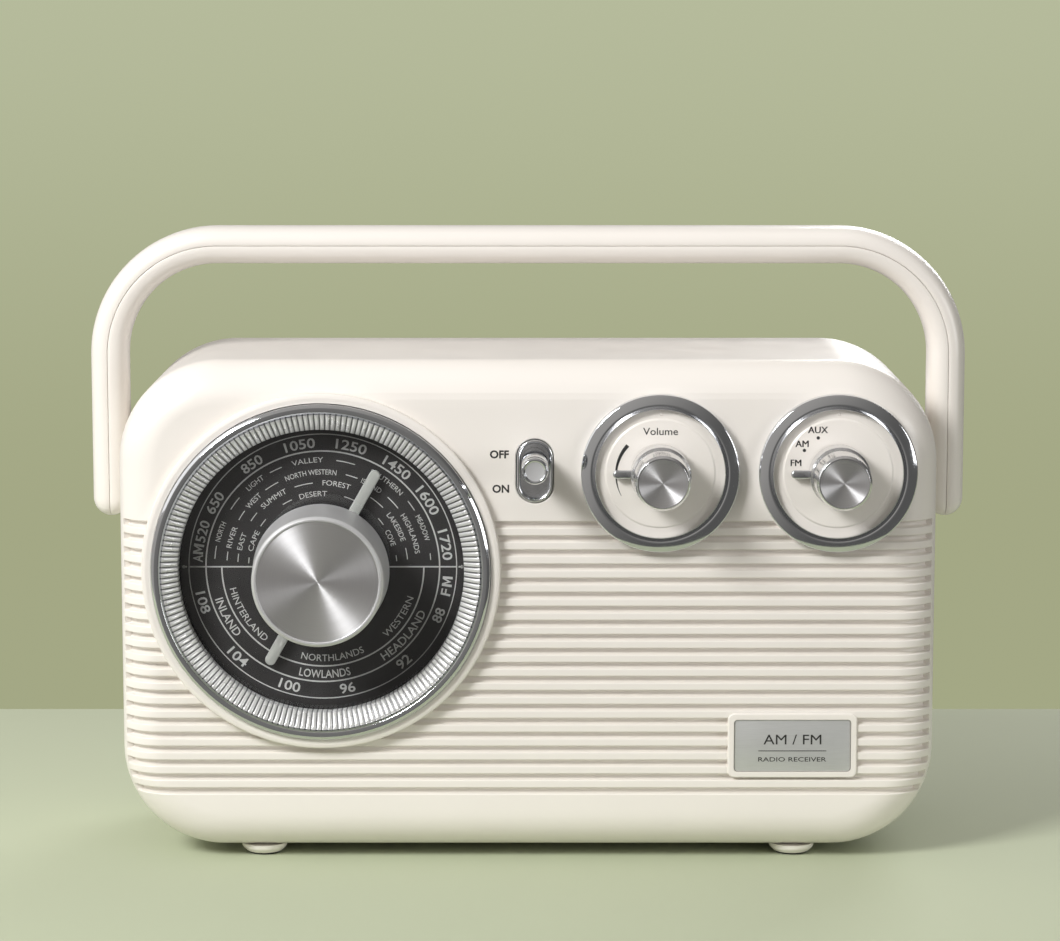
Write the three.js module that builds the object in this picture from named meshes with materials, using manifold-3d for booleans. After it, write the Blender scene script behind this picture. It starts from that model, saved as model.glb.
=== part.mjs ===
// Tabletop radio with a swinging carry handle.
// Millimetres. +X runs to the right of the front, +Y to the back, +Z up.
// The radio stands on z = 0, and x = 0, y = 0 is the middle of its overall footprint.

import * as THREE from 'three';
import { mergeVertices } from 'three/addons/utils/BufferGeometryUtils.js';
import Module from 'manifold-3d';

const wasm = await Module();
wasm.setup();

// ---------------------------------------------------------------- driving dimensions

const GAP = 0.3;                    // clearance between separate pieces

const BODY_WIDTH = 240;
const BODY_HEIGHT = 145;
const BODY_DEPTH = 84;
const CORNER_RADIUS = 30;           // the four corners seen from the front
const EDGE_RADIUS = 12;             // rounding along the front and rear edges
const WALL = 2.6;
const FOOT_HEIGHT = 3.2;
const REAR_COVER_DEPTH = 14;

const KNOB_REACH = 23;              // furthest knob face in front of the cabinet
const ANTENNA_REACH = 8;            // the folded antenna stands this far behind the cabinet

const FRONT = KNOB_REACH - (BODY_DEPTH + KNOB_REACH + ANTENNA_REACH) / 2;
const BACK = FRONT + BODY_DEPTH;
const PARTING = BACK - REAR_COVER_DEPTH;
const BODY_MIDDLE_Z = FOOT_HEIGHT + BODY_HEIGHT / 2;

const GROOVE_COUNT = 20;
const GROOVE_TOP_Z = 100.8;
const GROOVE_PITCH = 4.174;
const GROOVE_WIDTH = 1.8;
const GROOVE_DEPTH = 1.6;
const SOUND_SLOT_WIDTH = 0.9;

const DIAL_X = -60.3;
const DIAL_Z = 87.2;
const DIAL_HOLE_RADIUS = 51;
const DIAL_SURROUND_RADIUS = 52.3;
const DIAL_BEZEL_RADIUS = 49.4;
const DIAL_KNURL_RADIUS = 46.4;
const DIAL_VIEW_RADIUS = 41.7;      // inner edge of the knurled cone
const DIAL_PLATE_DEPTH = 7.8;       // dial plate behind the cabinet's front face
const DIAL_PLATE_THICKNESS = 1.2;
const POINTER_REACH = 33;
const POINTER_WIDTH = 3.2;
const POINTER_ANGLE = 29.5;         // degrees clockwise from upright, as the radio stands
const TUNING_KNOB_RADIUS = 20.1;
const TUNING_KNOB_REACH = 19.5;
const SHAFT_RADIUS = 3;

const CONTROL_Z = 116.2;            // height of both small dials
const VOLUME_X = 38.4;
const SOURCE_X = 90;
const SMALL_BEZEL_RADIUS = 23.2;
const SMALL_PLATE_RADIUS = 19;
const SMALL_HOLE_RADIUS = 10;
const SMALL_KNOB_RADIUS = 8.7;
const SMALL_POINTER_REACH = 13.8;

const SWITCH_X = 2;
const SWITCH_Z = 116.6;
const SWITCH_WIDTH = 10.4;
const SWITCH_HEIGHT = 18.3;
const SLIDER_RADIUS = 3.9;
const SLIDER_TRAVEL = 5.6;
const SLIDER_REACH = 21;

const NAME_PLATE_X = 77.7;
const NAME_PLATE_Z = 35.2;
const NAME_PLATE_WIDTH = 34.2;
const NAME_PLATE_HEIGHT = 15.4;

const HANDLE_HALF_WIDTH = 131.7;    // outside of the legs
const HANDLE_TOP_Z = 185;
const HANDLE_THICKNESS = 11.2;      // seen from the front
const HANDLE_DEPTH = 18;
const HANDLE_CORNER_RADIUS = 38.5;  // outside of the bend
const HANDLE_Y = (FRONT + BACK) / 2 + 2;
const HANDLE_LEG_END_Z = 97.5;
const HANDLE_PIVOT_Z = 106.5;
const PIVOT_RADIUS = 3;

const FOOT_X = 78.7;
const FRONT_FOOT_INSET = 13.5;      // foot centres in from the front
const REAR_FOOT_INSET = 18;         // and in from the back
const FOOT_RADIUS = 6.7;

const SPEAKER_X = 62;
const SPEAKER_Z = 53;
const SPEAKER_RADIUS = 33;

const SCREW_X = 96;
const SCREW_Z_FROM_MIDDLE = 54.3;
const POST_RADIUS = 3.5;

const BATTERY_Z = 46;
const DOOR_WIDTH = 62.2;
const DOOR_HEIGHT = 55.2;
const DOOR_THICKNESS = 2.2;

const ANTENNA_X = -98;
const ANTENNA_Z = 118;
const ANTENNA_LENGTH = 188;
const ANTENNA_AXIS_Y = BACK + ANTENNA_REACH - 2.6;

// facets round a full turn
const DIAL_FACETS = 36;
const SMALL_DIAL_FACETS = 26;
const KNOB_FACETS = 26;
const PIN_FACETS = 12;

// ---------------------------------------------------------------- materials

const finishes = {
  creamPlastic: { color: 0xefeade, roughness: 0.3, metalness: 0 },
  blackPlastic: { color: 0x1b1b1c, roughness: 0.45, metalness: 0 },
  dialPrint: { color: 0x141414, roughness: 0.25, metalness: 0 },
  clearPlastic: { color: 0xeef2f2, roughness: 0.05, metalness: 0, transparent: true, opacity: 0.25 },
  chrome: { color: 0xd8dadb, roughness: 0.08, metalness: 1 },
  satinSilver: { color: 0xb9babb, roughness: 0.3, metalness: 1 },
  rubber: { color: 0x242424, roughness: 0.9, metalness: 0 },
  ferrite: { color: 0x3a3a3c, roughness: 0.7, metalness: 0 },
  copper: { color: 0xb0713e, roughness: 0.35, metalness: 1 },
  paperCone: { color: 0x2c2b2a, roughness: 0.95, metalness: 0 },
  circuitBoard: { color: 0x2f6b45, roughness: 0.55, metalness: 0 },
  steel: { color: 0x9a9c9e, roughness: 0.35, metalness: 1 },
};
const materials = {};
for (const [name, finish] of Object.entries(finishes)) {
  materials[name] = new THREE.MeshStandardMaterial(finish);
}

const radio = new THREE.Group();

function addPiece(parent, name, geometry, finish) {
  const mesh = new THREE.Mesh(geometry, materials[finish]);
  mesh.name = name;
  parent.add(mesh);
  return mesh;
}

function groupAt(x, y, z) {
  const group = new THREE.Group();
  group.position.set(x, y, z);
  radio.add(group);
  return group;
}

// ---------------------------------------------------------------- solids and booleans

// Welds a closed geometry and drops the triangles that welding flattens.
function welded(geometry) {
  const bare = geometry.clone();
  bare.deleteAttribute('normal');
  bare.deleteAttribute('uv');
  const merged = mergeVertices(bare, 1e-4);
  const index = merged.index.array;
  const kept = [];
  for (let i = 0; i < index.length; i += 3) {
    const [a, b, c] = [index[i], index[i + 1], index[i + 2]];
    if (a !== b && b !== c && c !== a) {
      kept.push(a, b, c);
    }
  }
  merged.setIndex(kept);
  return merged;
}

function solid(geometry) {
  const merged = welded(geometry);
  const mesh = new wasm.Mesh({
    numProp: 3,
    vertProperties: new Float32Array(merged.attributes.position.array),
    triVerts: new Uint32Array(merged.index.array),
  });
  return new wasm.Manifold(mesh);
}

function geometryOf(manifold) {
  const mesh = manifold.getMesh();
  const geometry = new THREE.BufferGeometry();
  geometry.setAttribute('position', new THREE.BufferAttribute(mesh.vertProperties, 3));
  geometry.setIndex(new THREE.BufferAttribute(mesh.triVerts, 1));
  return geometry;
}

function cut(body, ...tools) {
  return tools.reduce((rest, tool) => rest.subtract(tool), body);
}

function join(...bodies) {
  return bodies.reduce((whole, body) => whole.add(body));
}

// ---------------------------------------------------------------- basic shapes

function signedVolume(geometry) {
  const position = geometry.attributes.position;
  const index = geometry.index.array;
  const [a, b, c] = [new THREE.Vector3(), new THREE.Vector3(), new THREE.Vector3()];
  let total = 0;
  for (let i = 0; i < index.length; i += 3) {
    a.fromBufferAttribute(position, index[i]);
    b.fromBufferAttribute(position, index[i + 1]);
    c.fromBufferAttribute(position, index[i + 2]);
    total += a.dot(b.cross(c)) / 6;
  }
  return total;
}

// Turns a profile of [radius, height] points about the Y axis, faces outward.
function turned(profile, segments) {
  const points = profile.map(([radius, height]) => new THREE.Vector2(radius, height));
  const onAxis = points[0].x === 0 && points[points.length - 1].x === 0;
  if (!onAxis) {
    points.push(points[0].clone());
  }
  const geometry = welded(new THREE.LatheGeometry(points, segments));
  if (signedVolume(geometry) < 0) {
    geometry.setIndex(Array.from(geometry.index.array).reverse());
  }
  return geometry;
}

// A plain round bar along Y from y0 to y1.
function bar(radius, y0, y1, segments = PIN_FACETS) {
  return turned([[0, y0], [radius, y0], [radius, y1], [0, y1]], segments);
}

// Stands a piece that was turned about Y upright, so its height runs along Z.
function upright(geometry) {
  return geometry.rotateX(Math.PI / 2);
}

// Lays a piece that was turned about Y along +X.
function sideways(geometry) {
  return geometry.rotateZ(-Math.PI / 2);
}

function box(x0, x1, y0, y1, z0, z1) {
  const geometry = new THREE.BoxGeometry(x1 - x0, y1 - y0, z1 - z0);
  return geometry.translate((x0 + x1) / 2, (y0 + y1) / 2, (z0 + z1) / 2);
}

function roundedRectangle(width, height, radius) {
  const shape = new THREE.Shape();
  const [right, top] = [width / 2 - radius, height / 2 - radius];
  const quarter = Math.PI / 2;
  shape.absarc(right, top, radius, 0, quarter);
  shape.absarc(-right, top, radius, quarter, 2 * quarter);
  shape.absarc(-right, -top, radius, 2 * quarter, 3 * quarter);
  shape.absarc(right, -top, radius, 3 * quarter, 4 * quarter);
  shape.closePath();
  return shape;
}

// An outline drawn as seen from the front, made solid from y0 (front) to y1 (back).
function frontPlate(shape, y0, y1, curveSegments = 4) {
  const settings = { depth: y1 - y0, bevelEnabled: false, curveSegments };
  const geometry = new THREE.ExtrudeGeometry(shape, settings);
  return geometry.rotateX(Math.PI / 2).translate(0, y1, 0);
}

// The same, with its front and rear edges rounded and the outline as the outermost size.
function roundedBlock(width, height, depth, corner, edge, bevelSegments) {
  const outline = roundedRectangle(width - 2 * edge, height - 2 * edge, corner - edge);
  const geometry = new THREE.ExtrudeGeometry(outline, {
    depth: depth - 2 * edge,
    bevelThickness: edge,
    bevelSize: edge,
    bevelSegments,
    curveSegments: 5,
  });
  return geometry.rotateX(Math.PI / 2).translate(0, depth / 2 - edge, 0);
}

// ---------------------------------------------------------------- cabinet

const BODY_MIDDLE_Y = (FRONT + BACK) / 2;
const SPLIT_REACH = 200;            // half size of the blocks that split the cabinet

const screwPlaces = [];
for (const sideX of [-1, 1]) {
  for (const sideZ of [-1, 1]) {
    screwPlaces.push([sideX * SCREW_X, BODY_MIDDLE_Z + sideZ * SCREW_Z_FROM_MIDDLE]);
  }
}

function cabinetBlock(inset, bevelSegments) {
  const block = roundedBlock(
    BODY_WIDTH - 2 * inset,
    BODY_HEIGHT - 2 * inset,
    BODY_DEPTH - 2 * inset,
    CORNER_RADIUS - inset,
    EDGE_RADIUS - inset,
    bevelSegments,
  );
  return solid(block.translate(0, BODY_MIDDLE_Y, BODY_MIDDLE_Z));
}

const cabinetOutside = cabinetBlock(0, 4);
const cabinetInside = cabinetBlock(WALL, 2);
const cabinetShell = cabinetOutside.subtract(cabinetInside);

const grooveHeights = [];
for (let i = 0; i < GROOVE_COUNT; i += 1) {
  grooveHeights.push(GROOVE_TOP_Z - i * GROOVE_PITCH);
}

const NAME_FRAME_BORDER = 1.9;
const NAME_FRAME_RISE = 0.6;
const NAME_RECESS_DEPTH = 1.3;

function namePlateBlock(margin, y0, y1) {
  const width = NAME_PLATE_WIDTH + 2 * margin;
  const height = NAME_PLATE_HEIGHT + 2 * margin;
  const shape = roundedRectangle(width, height, 1.2);
  return frontPlate(shape, y0, y1, 3).translate(NAME_PLATE_X, 0, NAME_PLATE_Z);
}

const GUARD_MARGIN = 0.4;           // plain cabinet left round each dial

// The grooves stop at the dial, at both small dials and at the name plate's frame.
function grooveTool() {
  const halfWidth = GROOVE_WIDTH / 2;
  const grooves = grooveHeights.map((z) => solid(
    box(-BODY_WIDTH / 2, BODY_WIDTH / 2, FRONT - 1, FRONT + GROOVE_DEPTH, z - halfWidth, z + halfWidth),
  ));
  const guard = (radius, facets, x, z) => solid(
    bar(radius + GUARD_MARGIN, FRONT - 2, FRONT + 3, facets).translate(x, 0, z),
  );
  const dialGuard = guard(DIAL_SURROUND_RADIUS, DIAL_FACETS, DIAL_X, DIAL_Z);
  const smallGuards = [VOLUME_X, SOURCE_X].map(
    (x) => guard(SMALL_BEZEL_RADIUS, SMALL_DIAL_FACETS, x, CONTROL_Z),
  );
  const nameGuard = solid(namePlateBlock(NAME_FRAME_BORDER, FRONT - 2, FRONT + 3));
  return cut(join(...grooves), dialGuard, ...smallGuards, nameGuard);
}

const SLOT_FIELD_RADIUS = SPEAKER_RADIUS - 5;
const SHORTEST_SLOT = 12;

// Sound leaves through narrow slots in the groove floors in front of the loudspeaker.
function soundSlotTool() {
  const slots = [];
  for (const z of grooveHeights) {
    const halfLength = Math.sqrt(Math.max(0, SLOT_FIELD_RADIUS ** 2 - (z - SPEAKER_Z) ** 2));
    if (2 * halfLength > SHORTEST_SLOT) {
      const top = z + GROOVE_WIDTH / 2 - 0.2;
      slots.push(solid(box(
        SPEAKER_X - halfLength, SPEAKER_X + halfLength,
        FRONT + 1, FRONT + WALL + 1,
        top - SOUND_SLOT_WIDTH, top,
      )));
    }
  }
  const nameGuard = solid(namePlateBlock(NAME_FRAME_BORDER, FRONT, FRONT + WALL + 2));
  return join(...slots).subtract(nameGuard);
}

function stadium(width, height) {
  return roundedRectangle(width, height, width / 2 - 0.001);
}

function pivotHole() {
  const reach = BODY_WIDTH / 2 + 1;
  const hole = sideways(bar(PIVOT_RADIUS + 0.4, -reach, reach));
  return solid(hole.translate(0, HANDLE_Y, HANDLE_PIVOT_Z));
}

const footPlaces = [
  ['front_left', -FOOT_X, FRONT + FRONT_FOOT_INSET],
  ['front_right', FOOT_X, FRONT + FRONT_FOOT_INSET],
  ['rear_left', -FOOT_X, BACK - REAR_FOOT_INSET],
  ['rear_right', FOOT_X, BACK - REAR_FOOT_INSET],
];
const FOOT_SPIGOT_RADIUS = 2.4;

function footHoles() {
  return footPlaces.map(([, x, y]) => solid(
    upright(bar(FOOT_SPIGOT_RADIUS + GAP, 0, FOOT_HEIGHT + 2 * WALL)).translate(x, y, 0),
  ));
}

const PILOT_RADIUS = 1.5;
const PILOT_DEPTH = 12;

function buildFrontCabinet() {
  const frontHalf = solid(box(
    -SPLIT_REACH, SPLIT_REACH, -SPLIT_REACH, PARTING - GAP / 2, -SPLIT_REACH, 2 * SPLIT_REACH,
  ));
  const posts = screwPlaces.map(([x, z]) => solid(
    bar(POST_RADIUS, FRONT + WALL - 0.6, PARTING - GAP / 2).translate(x, 0, z),
  ));
  const pilots = screwPlaces.map(([x, z]) => solid(
    bar(PILOT_RADIUS, PARTING - PILOT_DEPTH, PARTING + 1).translate(x, 0, z),
  ));
  const nameFrame = solid(namePlateBlock(NAME_FRAME_BORDER, FRONT - NAME_FRAME_RISE, FRONT + 1));
  const nameRecess = solid(namePlateBlock(GAP, FRONT - 2, FRONT + NAME_RECESS_DEPTH));
  const dialHole = solid(bar(DIAL_HOLE_RADIUS, FRONT - 2, FRONT + 2 * WALL, DIAL_FACETS)
    .translate(DIAL_X, 0, DIAL_Z));
  const smallHoles = [VOLUME_X, SOURCE_X].map((x) => solid(
    bar(SMALL_HOLE_RADIUS, FRONT - 2, FRONT + 2 * WALL, SMALL_DIAL_FACETS).translate(x, 0, CONTROL_Z),
  ));
  const switchHole = solid(frontPlate(
    stadium(SWITCH_WIDTH + 2 * GAP, SWITCH_HEIGHT + 2 * GAP), FRONT - 2, FRONT + 2 * WALL,
  ).translate(SWITCH_X, 0, SWITCH_Z));
  const shell = join(cabinetShell.intersect(frontHalf), ...posts);
  const grooved = cut(shell, grooveTool(), soundSlotTool());
  const framed = join(grooved, nameFrame);
  return cut(
    framed, nameRecess, dialHole, ...smallHoles, switchHole, pivotHole(), ...footHoles(), ...pilots,
  );
}

// ---------------------------------------------------------------- rear cover

const WELL_RADIUS = 3.4;
const WELL_WALL_RADIUS = 5;
const SCREW_SEAT = 3;               // thickness of the seat under each screw head
const DOOR_GAP = 0.4;

const SOCKET_Z = 30;
const USB_X = 62;
const USB_WIDTH = 9.4;
const USB_HEIGHT = 3.6;
const AUX_X = 80;
const AUX_RADIUS = 3;

const ANTENNA_STEM_RADIUS = 1.8;

const doorOpening = {
  left: -DOOR_WIDTH / 2 - DOOR_GAP,
  right: DOOR_WIDTH / 2 + DOOR_GAP,
  bottom: BATTERY_Z - DOOR_HEIGHT / 2 - DOOR_GAP,
  top: BATTERY_Z + DOOR_HEIGHT / 2 + DOOR_GAP,
};
const DOOR_AXIS_Y = BACK - WALL / 2;
const DOOR_AXIS_Z = BATTERY_Z - DOOR_HEIGHT / 2 + DOOR_THICKNESS / 2;
const HINGE_PIN_RADIUS = 0.7;
const HINGE_PIN_REACH = 1.6;

function buildRearCabinet() {
  const rearHalf = solid(box(
    -SPLIT_REACH, SPLIT_REACH, PARTING + GAP / 2, SPLIT_REACH, -SPLIT_REACH, 2 * SPLIT_REACH,
  ));
  const bosses = screwPlaces.map(([x, z]) => solid(
    bar(WELL_WALL_RADIUS, PARTING + GAP, BACK).translate(x, 0, z),
  ));
  const wells = screwPlaces.map(([x, z]) => solid(
    bar(WELL_RADIUS, PARTING + SCREW_SEAT, BACK + 1).translate(x, 0, z),
  ));
  const clearances = screwPlaces.map(([x, z]) => solid(
    bar(PILOT_RADIUS + 0.2, PARTING, BACK).translate(x, 0, z),
  ));
  const doorHole = solid(box(
    doorOpening.left, doorOpening.right, BACK - 2 * WALL, BACK + 1, doorOpening.bottom, doorOpening.top,
  ));
  const pinReach = DOOR_WIDTH / 2 + HINGE_PIN_REACH + DOOR_GAP;
  const pinHole = solid(sideways(bar(HINGE_PIN_RADIUS + GAP, -pinReach, pinReach))
    .translate(0, DOOR_AXIS_Y, DOOR_AXIS_Z));
  const through = (radius, x, z) => solid(
    bar(radius, BACK - 2 * WALL, BACK + 1).translate(x, 0, z),
  );
  const usbShape = roundedRectangle(USB_WIDTH + 0.8, USB_HEIGHT + 0.8, 1.6);
  const usbHole = solid(frontPlate(usbShape, BACK - 2 * WALL, BACK + 1, 3).translate(USB_X, 0, SOCKET_Z));
  const auxHole = through(AUX_RADIUS + GAP, AUX_X, SOCKET_Z);
  const stemHole = through(ANTENNA_STEM_RADIUS + 0.4, ANTENNA_X, ANTENNA_Z);
  const cover = join(cabinetShell, ...bosses).intersect(cabinetOutside).intersect(rearHalf);
  return cut(cover, ...wells, ...clearances, doorHole, pinHole, usbHole, auxHole, stemHole);
}

addPiece(radio, 'front_cabinet', geometryOf(buildFrontCabinet()), 'creamPlastic');
addPiece(radio, 'rear_cabinet', geometryOf(buildRearCabinet()), 'creamPlastic');

// ---------------------------------------------------------------- screws and feet

function screwGeometry() {
  const head = PARTING + SCREW_SEAT + GAP;
  return turned([
    [0, PARTING - 9], [0.5, PARTING - 9], [1.2, PARTING - 7.8],
    [1.2, head], [3, head], [3, head + 1.4], [2.3, head + 2], [0, head + 2],
  ], 10);
}

screwPlaces.forEach(([x, z], i) => {
  const screw = addPiece(radio, `case_screw_${i + 1}`, screwGeometry(), 'steel');
  screw.position.set(x, 0, z);
});

const PAD_RADIUS = 4.8;
const PAD_HEIGHT = 1.3;

function footGeometry() {
  const shoulder = FOOT_HEIGHT - GAP;
  return upright(turned([
    [0, PAD_HEIGHT + GAP], [PAD_RADIUS + GAP, PAD_HEIGHT + GAP], [PAD_RADIUS + GAP, 0.6],
    [FOOT_RADIUS - 1, 0.6], [FOOT_RADIUS, 1.5], [FOOT_RADIUS, shoulder],
    [FOOT_SPIGOT_RADIUS, shoulder], [FOOT_SPIGOT_RADIUS, FOOT_HEIGHT + WALL + 0.8],
    [0, FOOT_HEIGHT + WALL + 0.8],
  ], 16));
}

for (const [corner, x, y] of footPlaces) {
  addPiece(radio, `foot_${corner}`, footGeometry(), 'creamPlastic').position.set(x, y, 0);
  const pad = upright(bar(PAD_RADIUS, 0, PAD_HEIGHT, 16));
  addPiece(radio, `foot_pad_${corner}`, pad, 'rubber').position.set(x, y, 0);
}

// ---------------------------------------------------------------- main dial
// Local frame: y is measured back from the cabinet's front face.

const dial = groupAt(DIAL_X, FRONT, DIAL_Z);

addPiece(dial, 'dial_surround', turned([
  [DIAL_SURROUND_RADIUS, -GAP], [DIAL_SURROUND_RADIUS - 0.2, -1.6], [DIAL_SURROUND_RADIUS - 0.9, -2.7],
  [DIAL_SURROUND_RADIUS - 1.8, -3.1], [DIAL_BEZEL_RADIUS + GAP, -2.5], [DIAL_BEZEL_RADIUS + GAP, 4],
  [DIAL_HOLE_RADIUS - GAP, 4], [DIAL_HOLE_RADIUS - GAP, -GAP],
], DIAL_FACETS), 'creamPlastic');

addPiece(dial, 'dial_bezel', turned([
  [DIAL_BEZEL_RADIUS, 2], [DIAL_BEZEL_RADIUS, -1.8], [DIAL_BEZEL_RADIUS - 0.3, -3.2],
  [DIAL_BEZEL_RADIUS - 1, -4.4], [DIAL_BEZEL_RADIUS - 1.9, -4.9], [DIAL_KNURL_RADIUS + GAP, -4.7],
  [DIAL_KNURL_RADIUS + GAP, 2],
], DIAL_FACETS), 'chrome');

addPiece(dial, 'dial_knurled_ring', turned([
  [DIAL_KNURL_RADIUS, -4.4], [DIAL_VIEW_RADIUS, 1.5], [DIAL_VIEW_RADIUS, 2.1], [DIAL_KNURL_RADIUS, 2.1],
], DIAL_FACETS), 'satinSilver');

const WINDOW_FRONT = 2.6;
const WINDOW_BACK = 4;
const SHAFT_BORE = SHAFT_RADIUS + GAP;
const DIAL_PLATE_BACK = DIAL_PLATE_DEPTH + DIAL_PLATE_THICKNESS;

addPiece(dial, 'dial_window', turned([
  [SHAFT_BORE, WINDOW_FRONT], [DIAL_KNURL_RADIUS, WINDOW_FRONT],
  [DIAL_KNURL_RADIUS, WINDOW_BACK], [SHAFT_BORE, WINDOW_BACK],
], DIAL_FACETS), 'clearPlastic');

addPiece(dial, 'dial_plate', turned([
  [SHAFT_BORE, DIAL_PLATE_DEPTH], [DIAL_KNURL_RADIUS, DIAL_PLATE_DEPTH],
  [DIAL_KNURL_RADIUS, DIAL_PLATE_BACK], [SHAFT_BORE, DIAL_PLATE_BACK],
], DIAL_FACETS), 'dialPrint');

const HOUSING_FLOOR = DIAL_PLATE_BACK + GAP;
const HOUSING_BACK = HOUSING_FLOOR + 1.6;

addPiece(dial, 'dial_housing', turned([
  [SHAFT_BORE, HOUSING_FLOOR], [DIAL_KNURL_RADIUS + GAP, HOUSING_FLOOR],
  [DIAL_KNURL_RADIUS + GAP, WINDOW_FRONT], [DIAL_BEZEL_RADIUS, WINDOW_FRONT],
  [DIAL_BEZEL_RADIUS, HOUSING_BACK], [SHAFT_BORE, HOUSING_BACK],
], DIAL_FACETS), 'blackPlastic');

const SHAFT_START = -12;
const SHAFT_END = 24;
const KNOB_FACE_RADIUS = 18.3;

addPiece(dial, 'tuning_shaft', bar(SHAFT_RADIUS, SHAFT_START, SHAFT_END), 'steel');

addPiece(dial, 'tuning_knob', turned([
  [0, -TUNING_KNOB_REACH + 0.2], [KNOB_FACE_RADIUS, -TUNING_KNOB_REACH],
  [KNOB_FACE_RADIUS + 0.6, -TUNING_KNOB_REACH + 0.8],
  [TUNING_KNOB_RADIUS, -0.9], [TUNING_KNOB_RADIUS - 0.4, -0.5], [SHAFT_BORE, -0.5],
  [SHAFT_BORE, SHAFT_START - 0.4], [0, SHAFT_START - 0.4],
], KNOB_FACETS), 'satinSilver');

const HUB_RADIUS = 6;

function pointerGeometry() {
  const [front, back] = [WINDOW_BACK + 0.9, WINDOW_BACK + 2.1];
  const needle = frontPlate(stadium(POINTER_WIDTH, 2 * POINTER_REACH), front, back, 3);
  const hub = bar(HUB_RADIUS, front, back, 16);
  const bore = bar(SHAFT_BORE, front - 1, back + 1);
  return geometryOf(cut(join(solid(needle), solid(hub)), solid(bore)));
}

const pointer = addPiece(dial, 'tuning_pointer', pointerGeometry(), 'satinSilver');
pointer.rotation.y = THREE.MathUtils.degToRad(POINTER_ANGLE);

const CAPACITOR_SIZE = 20;
const CAPACITOR_BACK = SHAFT_END + 3.5;

function capacitorGeometry() {
  const half = CAPACITOR_SIZE / 2;
  const block = solid(box(-half, half, HOUSING_BACK + 0.4, CAPACITOR_BACK, -half, half));
  return geometryOf(cut(block, solid(bar(SHAFT_BORE, 0, SHAFT_END + GAP))));
}

addPiece(dial, 'tuning_capacitor', capacitorGeometry(), 'steel');

// ---------------------------------------------------------------- volume and source dials

const SMALL_PLATE_FRONT = -2.2;
const SMALL_SHAFT_BORE = 2.3;
const SMALL_SHAFT_RADIUS = 2;
const SMALL_POINTER_HEIGHT = 2.4;
const SMALL_SHAFT_END = 10;
const CONTROL_FRONT = 4.2;          // bodies of the two controls, behind the panel

function smallBezel() {
  const outer = SMALL_BEZEL_RADIUS;
  const inner = SMALL_PLATE_RADIUS + GAP;
  return turned([
    [outer, -GAP], [outer - 0.3, -1.7], [outer - 1, -3.2], [outer - 1.9, -4],
    [inner + 1.1, -4], [inner, -2.6], [inner, -GAP],
  ], SMALL_DIAL_FACETS);
}

function smallPlate() {
  return turned([
    [SMALL_SHAFT_BORE, SMALL_PLATE_FRONT], [16, SMALL_PLATE_FRONT], [16.4, SMALL_PLATE_FRONT + 0.3],
    [SMALL_PLATE_RADIUS, SMALL_PLATE_FRONT + 0.3], [SMALL_PLATE_RADIUS, -GAP],
    [SMALL_HOLE_RADIUS - GAP, -GAP], [SMALL_HOLE_RADIUS - GAP, 3.4], [SMALL_SHAFT_BORE, 3.4],
  ], SMALL_DIAL_FACETS);
}

function smallKnob() {
  const face = -KNOB_REACH;
  const foot = SMALL_PLATE_FRONT - 0.5;
  return turned([
    [0, face + 0.1], [7.1, face], [7.9, face + 0.8], [8.05, face + 12], [SMALL_KNOB_RADIUS, face + 12.6],
    [SMALL_KNOB_RADIUS, foot], [SMALL_SHAFT_BORE, foot], [SMALL_SHAFT_BORE, face + 8], [0, face + 8],
  ], KNOB_FACETS);
}

// A short stub that stands out from the knob's foot towards -X.
function smallPointer() {
  const start = SMALL_KNOB_RADIUS + 0.2;
  const stub = frontPlate(stadium(SMALL_POINTER_HEIGHT, 2 * SMALL_POINTER_REACH), -5, -2.9, 4)
    .rotateY(Math.PI / 2);
  const keep = box(-SMALL_POINTER_REACH - 1, -start, -8, 0, -3, 3);
  return geometryOf(solid(stub).intersect(solid(keep)));
}

function smallShaft() {
  return bar(SMALL_SHAFT_RADIUS, -14, SMALL_SHAFT_END);
}

// A round body behind the panel, bored for the shaft.
function potentiometerGeometry() {
  const [radius, back, boreEnd] = [8.5, 14, SMALL_SHAFT_END + 0.4];
  return turned([
    [SMALL_SHAFT_BORE, CONTROL_FRONT], [radius, CONTROL_FRONT], [radius, back], [0, back],
    [0, boreEnd], [SMALL_SHAFT_BORE, boreEnd],
  ], 16);
}

function rotarySwitchGeometry() {
  const body = solid(frontPlate(roundedRectangle(18, 18, 2), CONTROL_FRONT, 16, 2));
  return geometryOf(body.subtract(solid(bar(SMALL_SHAFT_BORE, 0, SMALL_SHAFT_END + 0.4))));
}

function addSmallDial(name, x, controlName, controlGeometry) {
  const group = groupAt(x, FRONT, CONTROL_Z);
  addPiece(group, `${name}_bezel`, smallBezel(), 'chrome');
  addPiece(group, `${name}_plate`, smallPlate(), 'creamPlastic');
  addPiece(group, `${name}_knob`, smallKnob(), 'satinSilver');
  addPiece(group, `${name}_pointer`, smallPointer(), 'chrome');
  addPiece(group, `${name}_shaft`, smallShaft(), 'steel');
  addPiece(group, controlName, controlGeometry, 'steel');
}

addSmallDial('volume', VOLUME_X, 'volume_potentiometer', potentiometerGeometry());
addSmallDial('source', SOURCE_X, 'source_rotary_switch', rotarySwitchGeometry());

// ---------------------------------------------------------------- power slide switch

const power = groupAt(SWITCH_X, FRONT, SWITCH_Z);
const SLIDER_NECK_RADIUS = 1.4;
const SLIDER_END = 7.6;
const BEZEL_RIM = 1;
const BEZEL_FLOOR = 2.6;
const BEZEL_BACK = 4.4;

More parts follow.
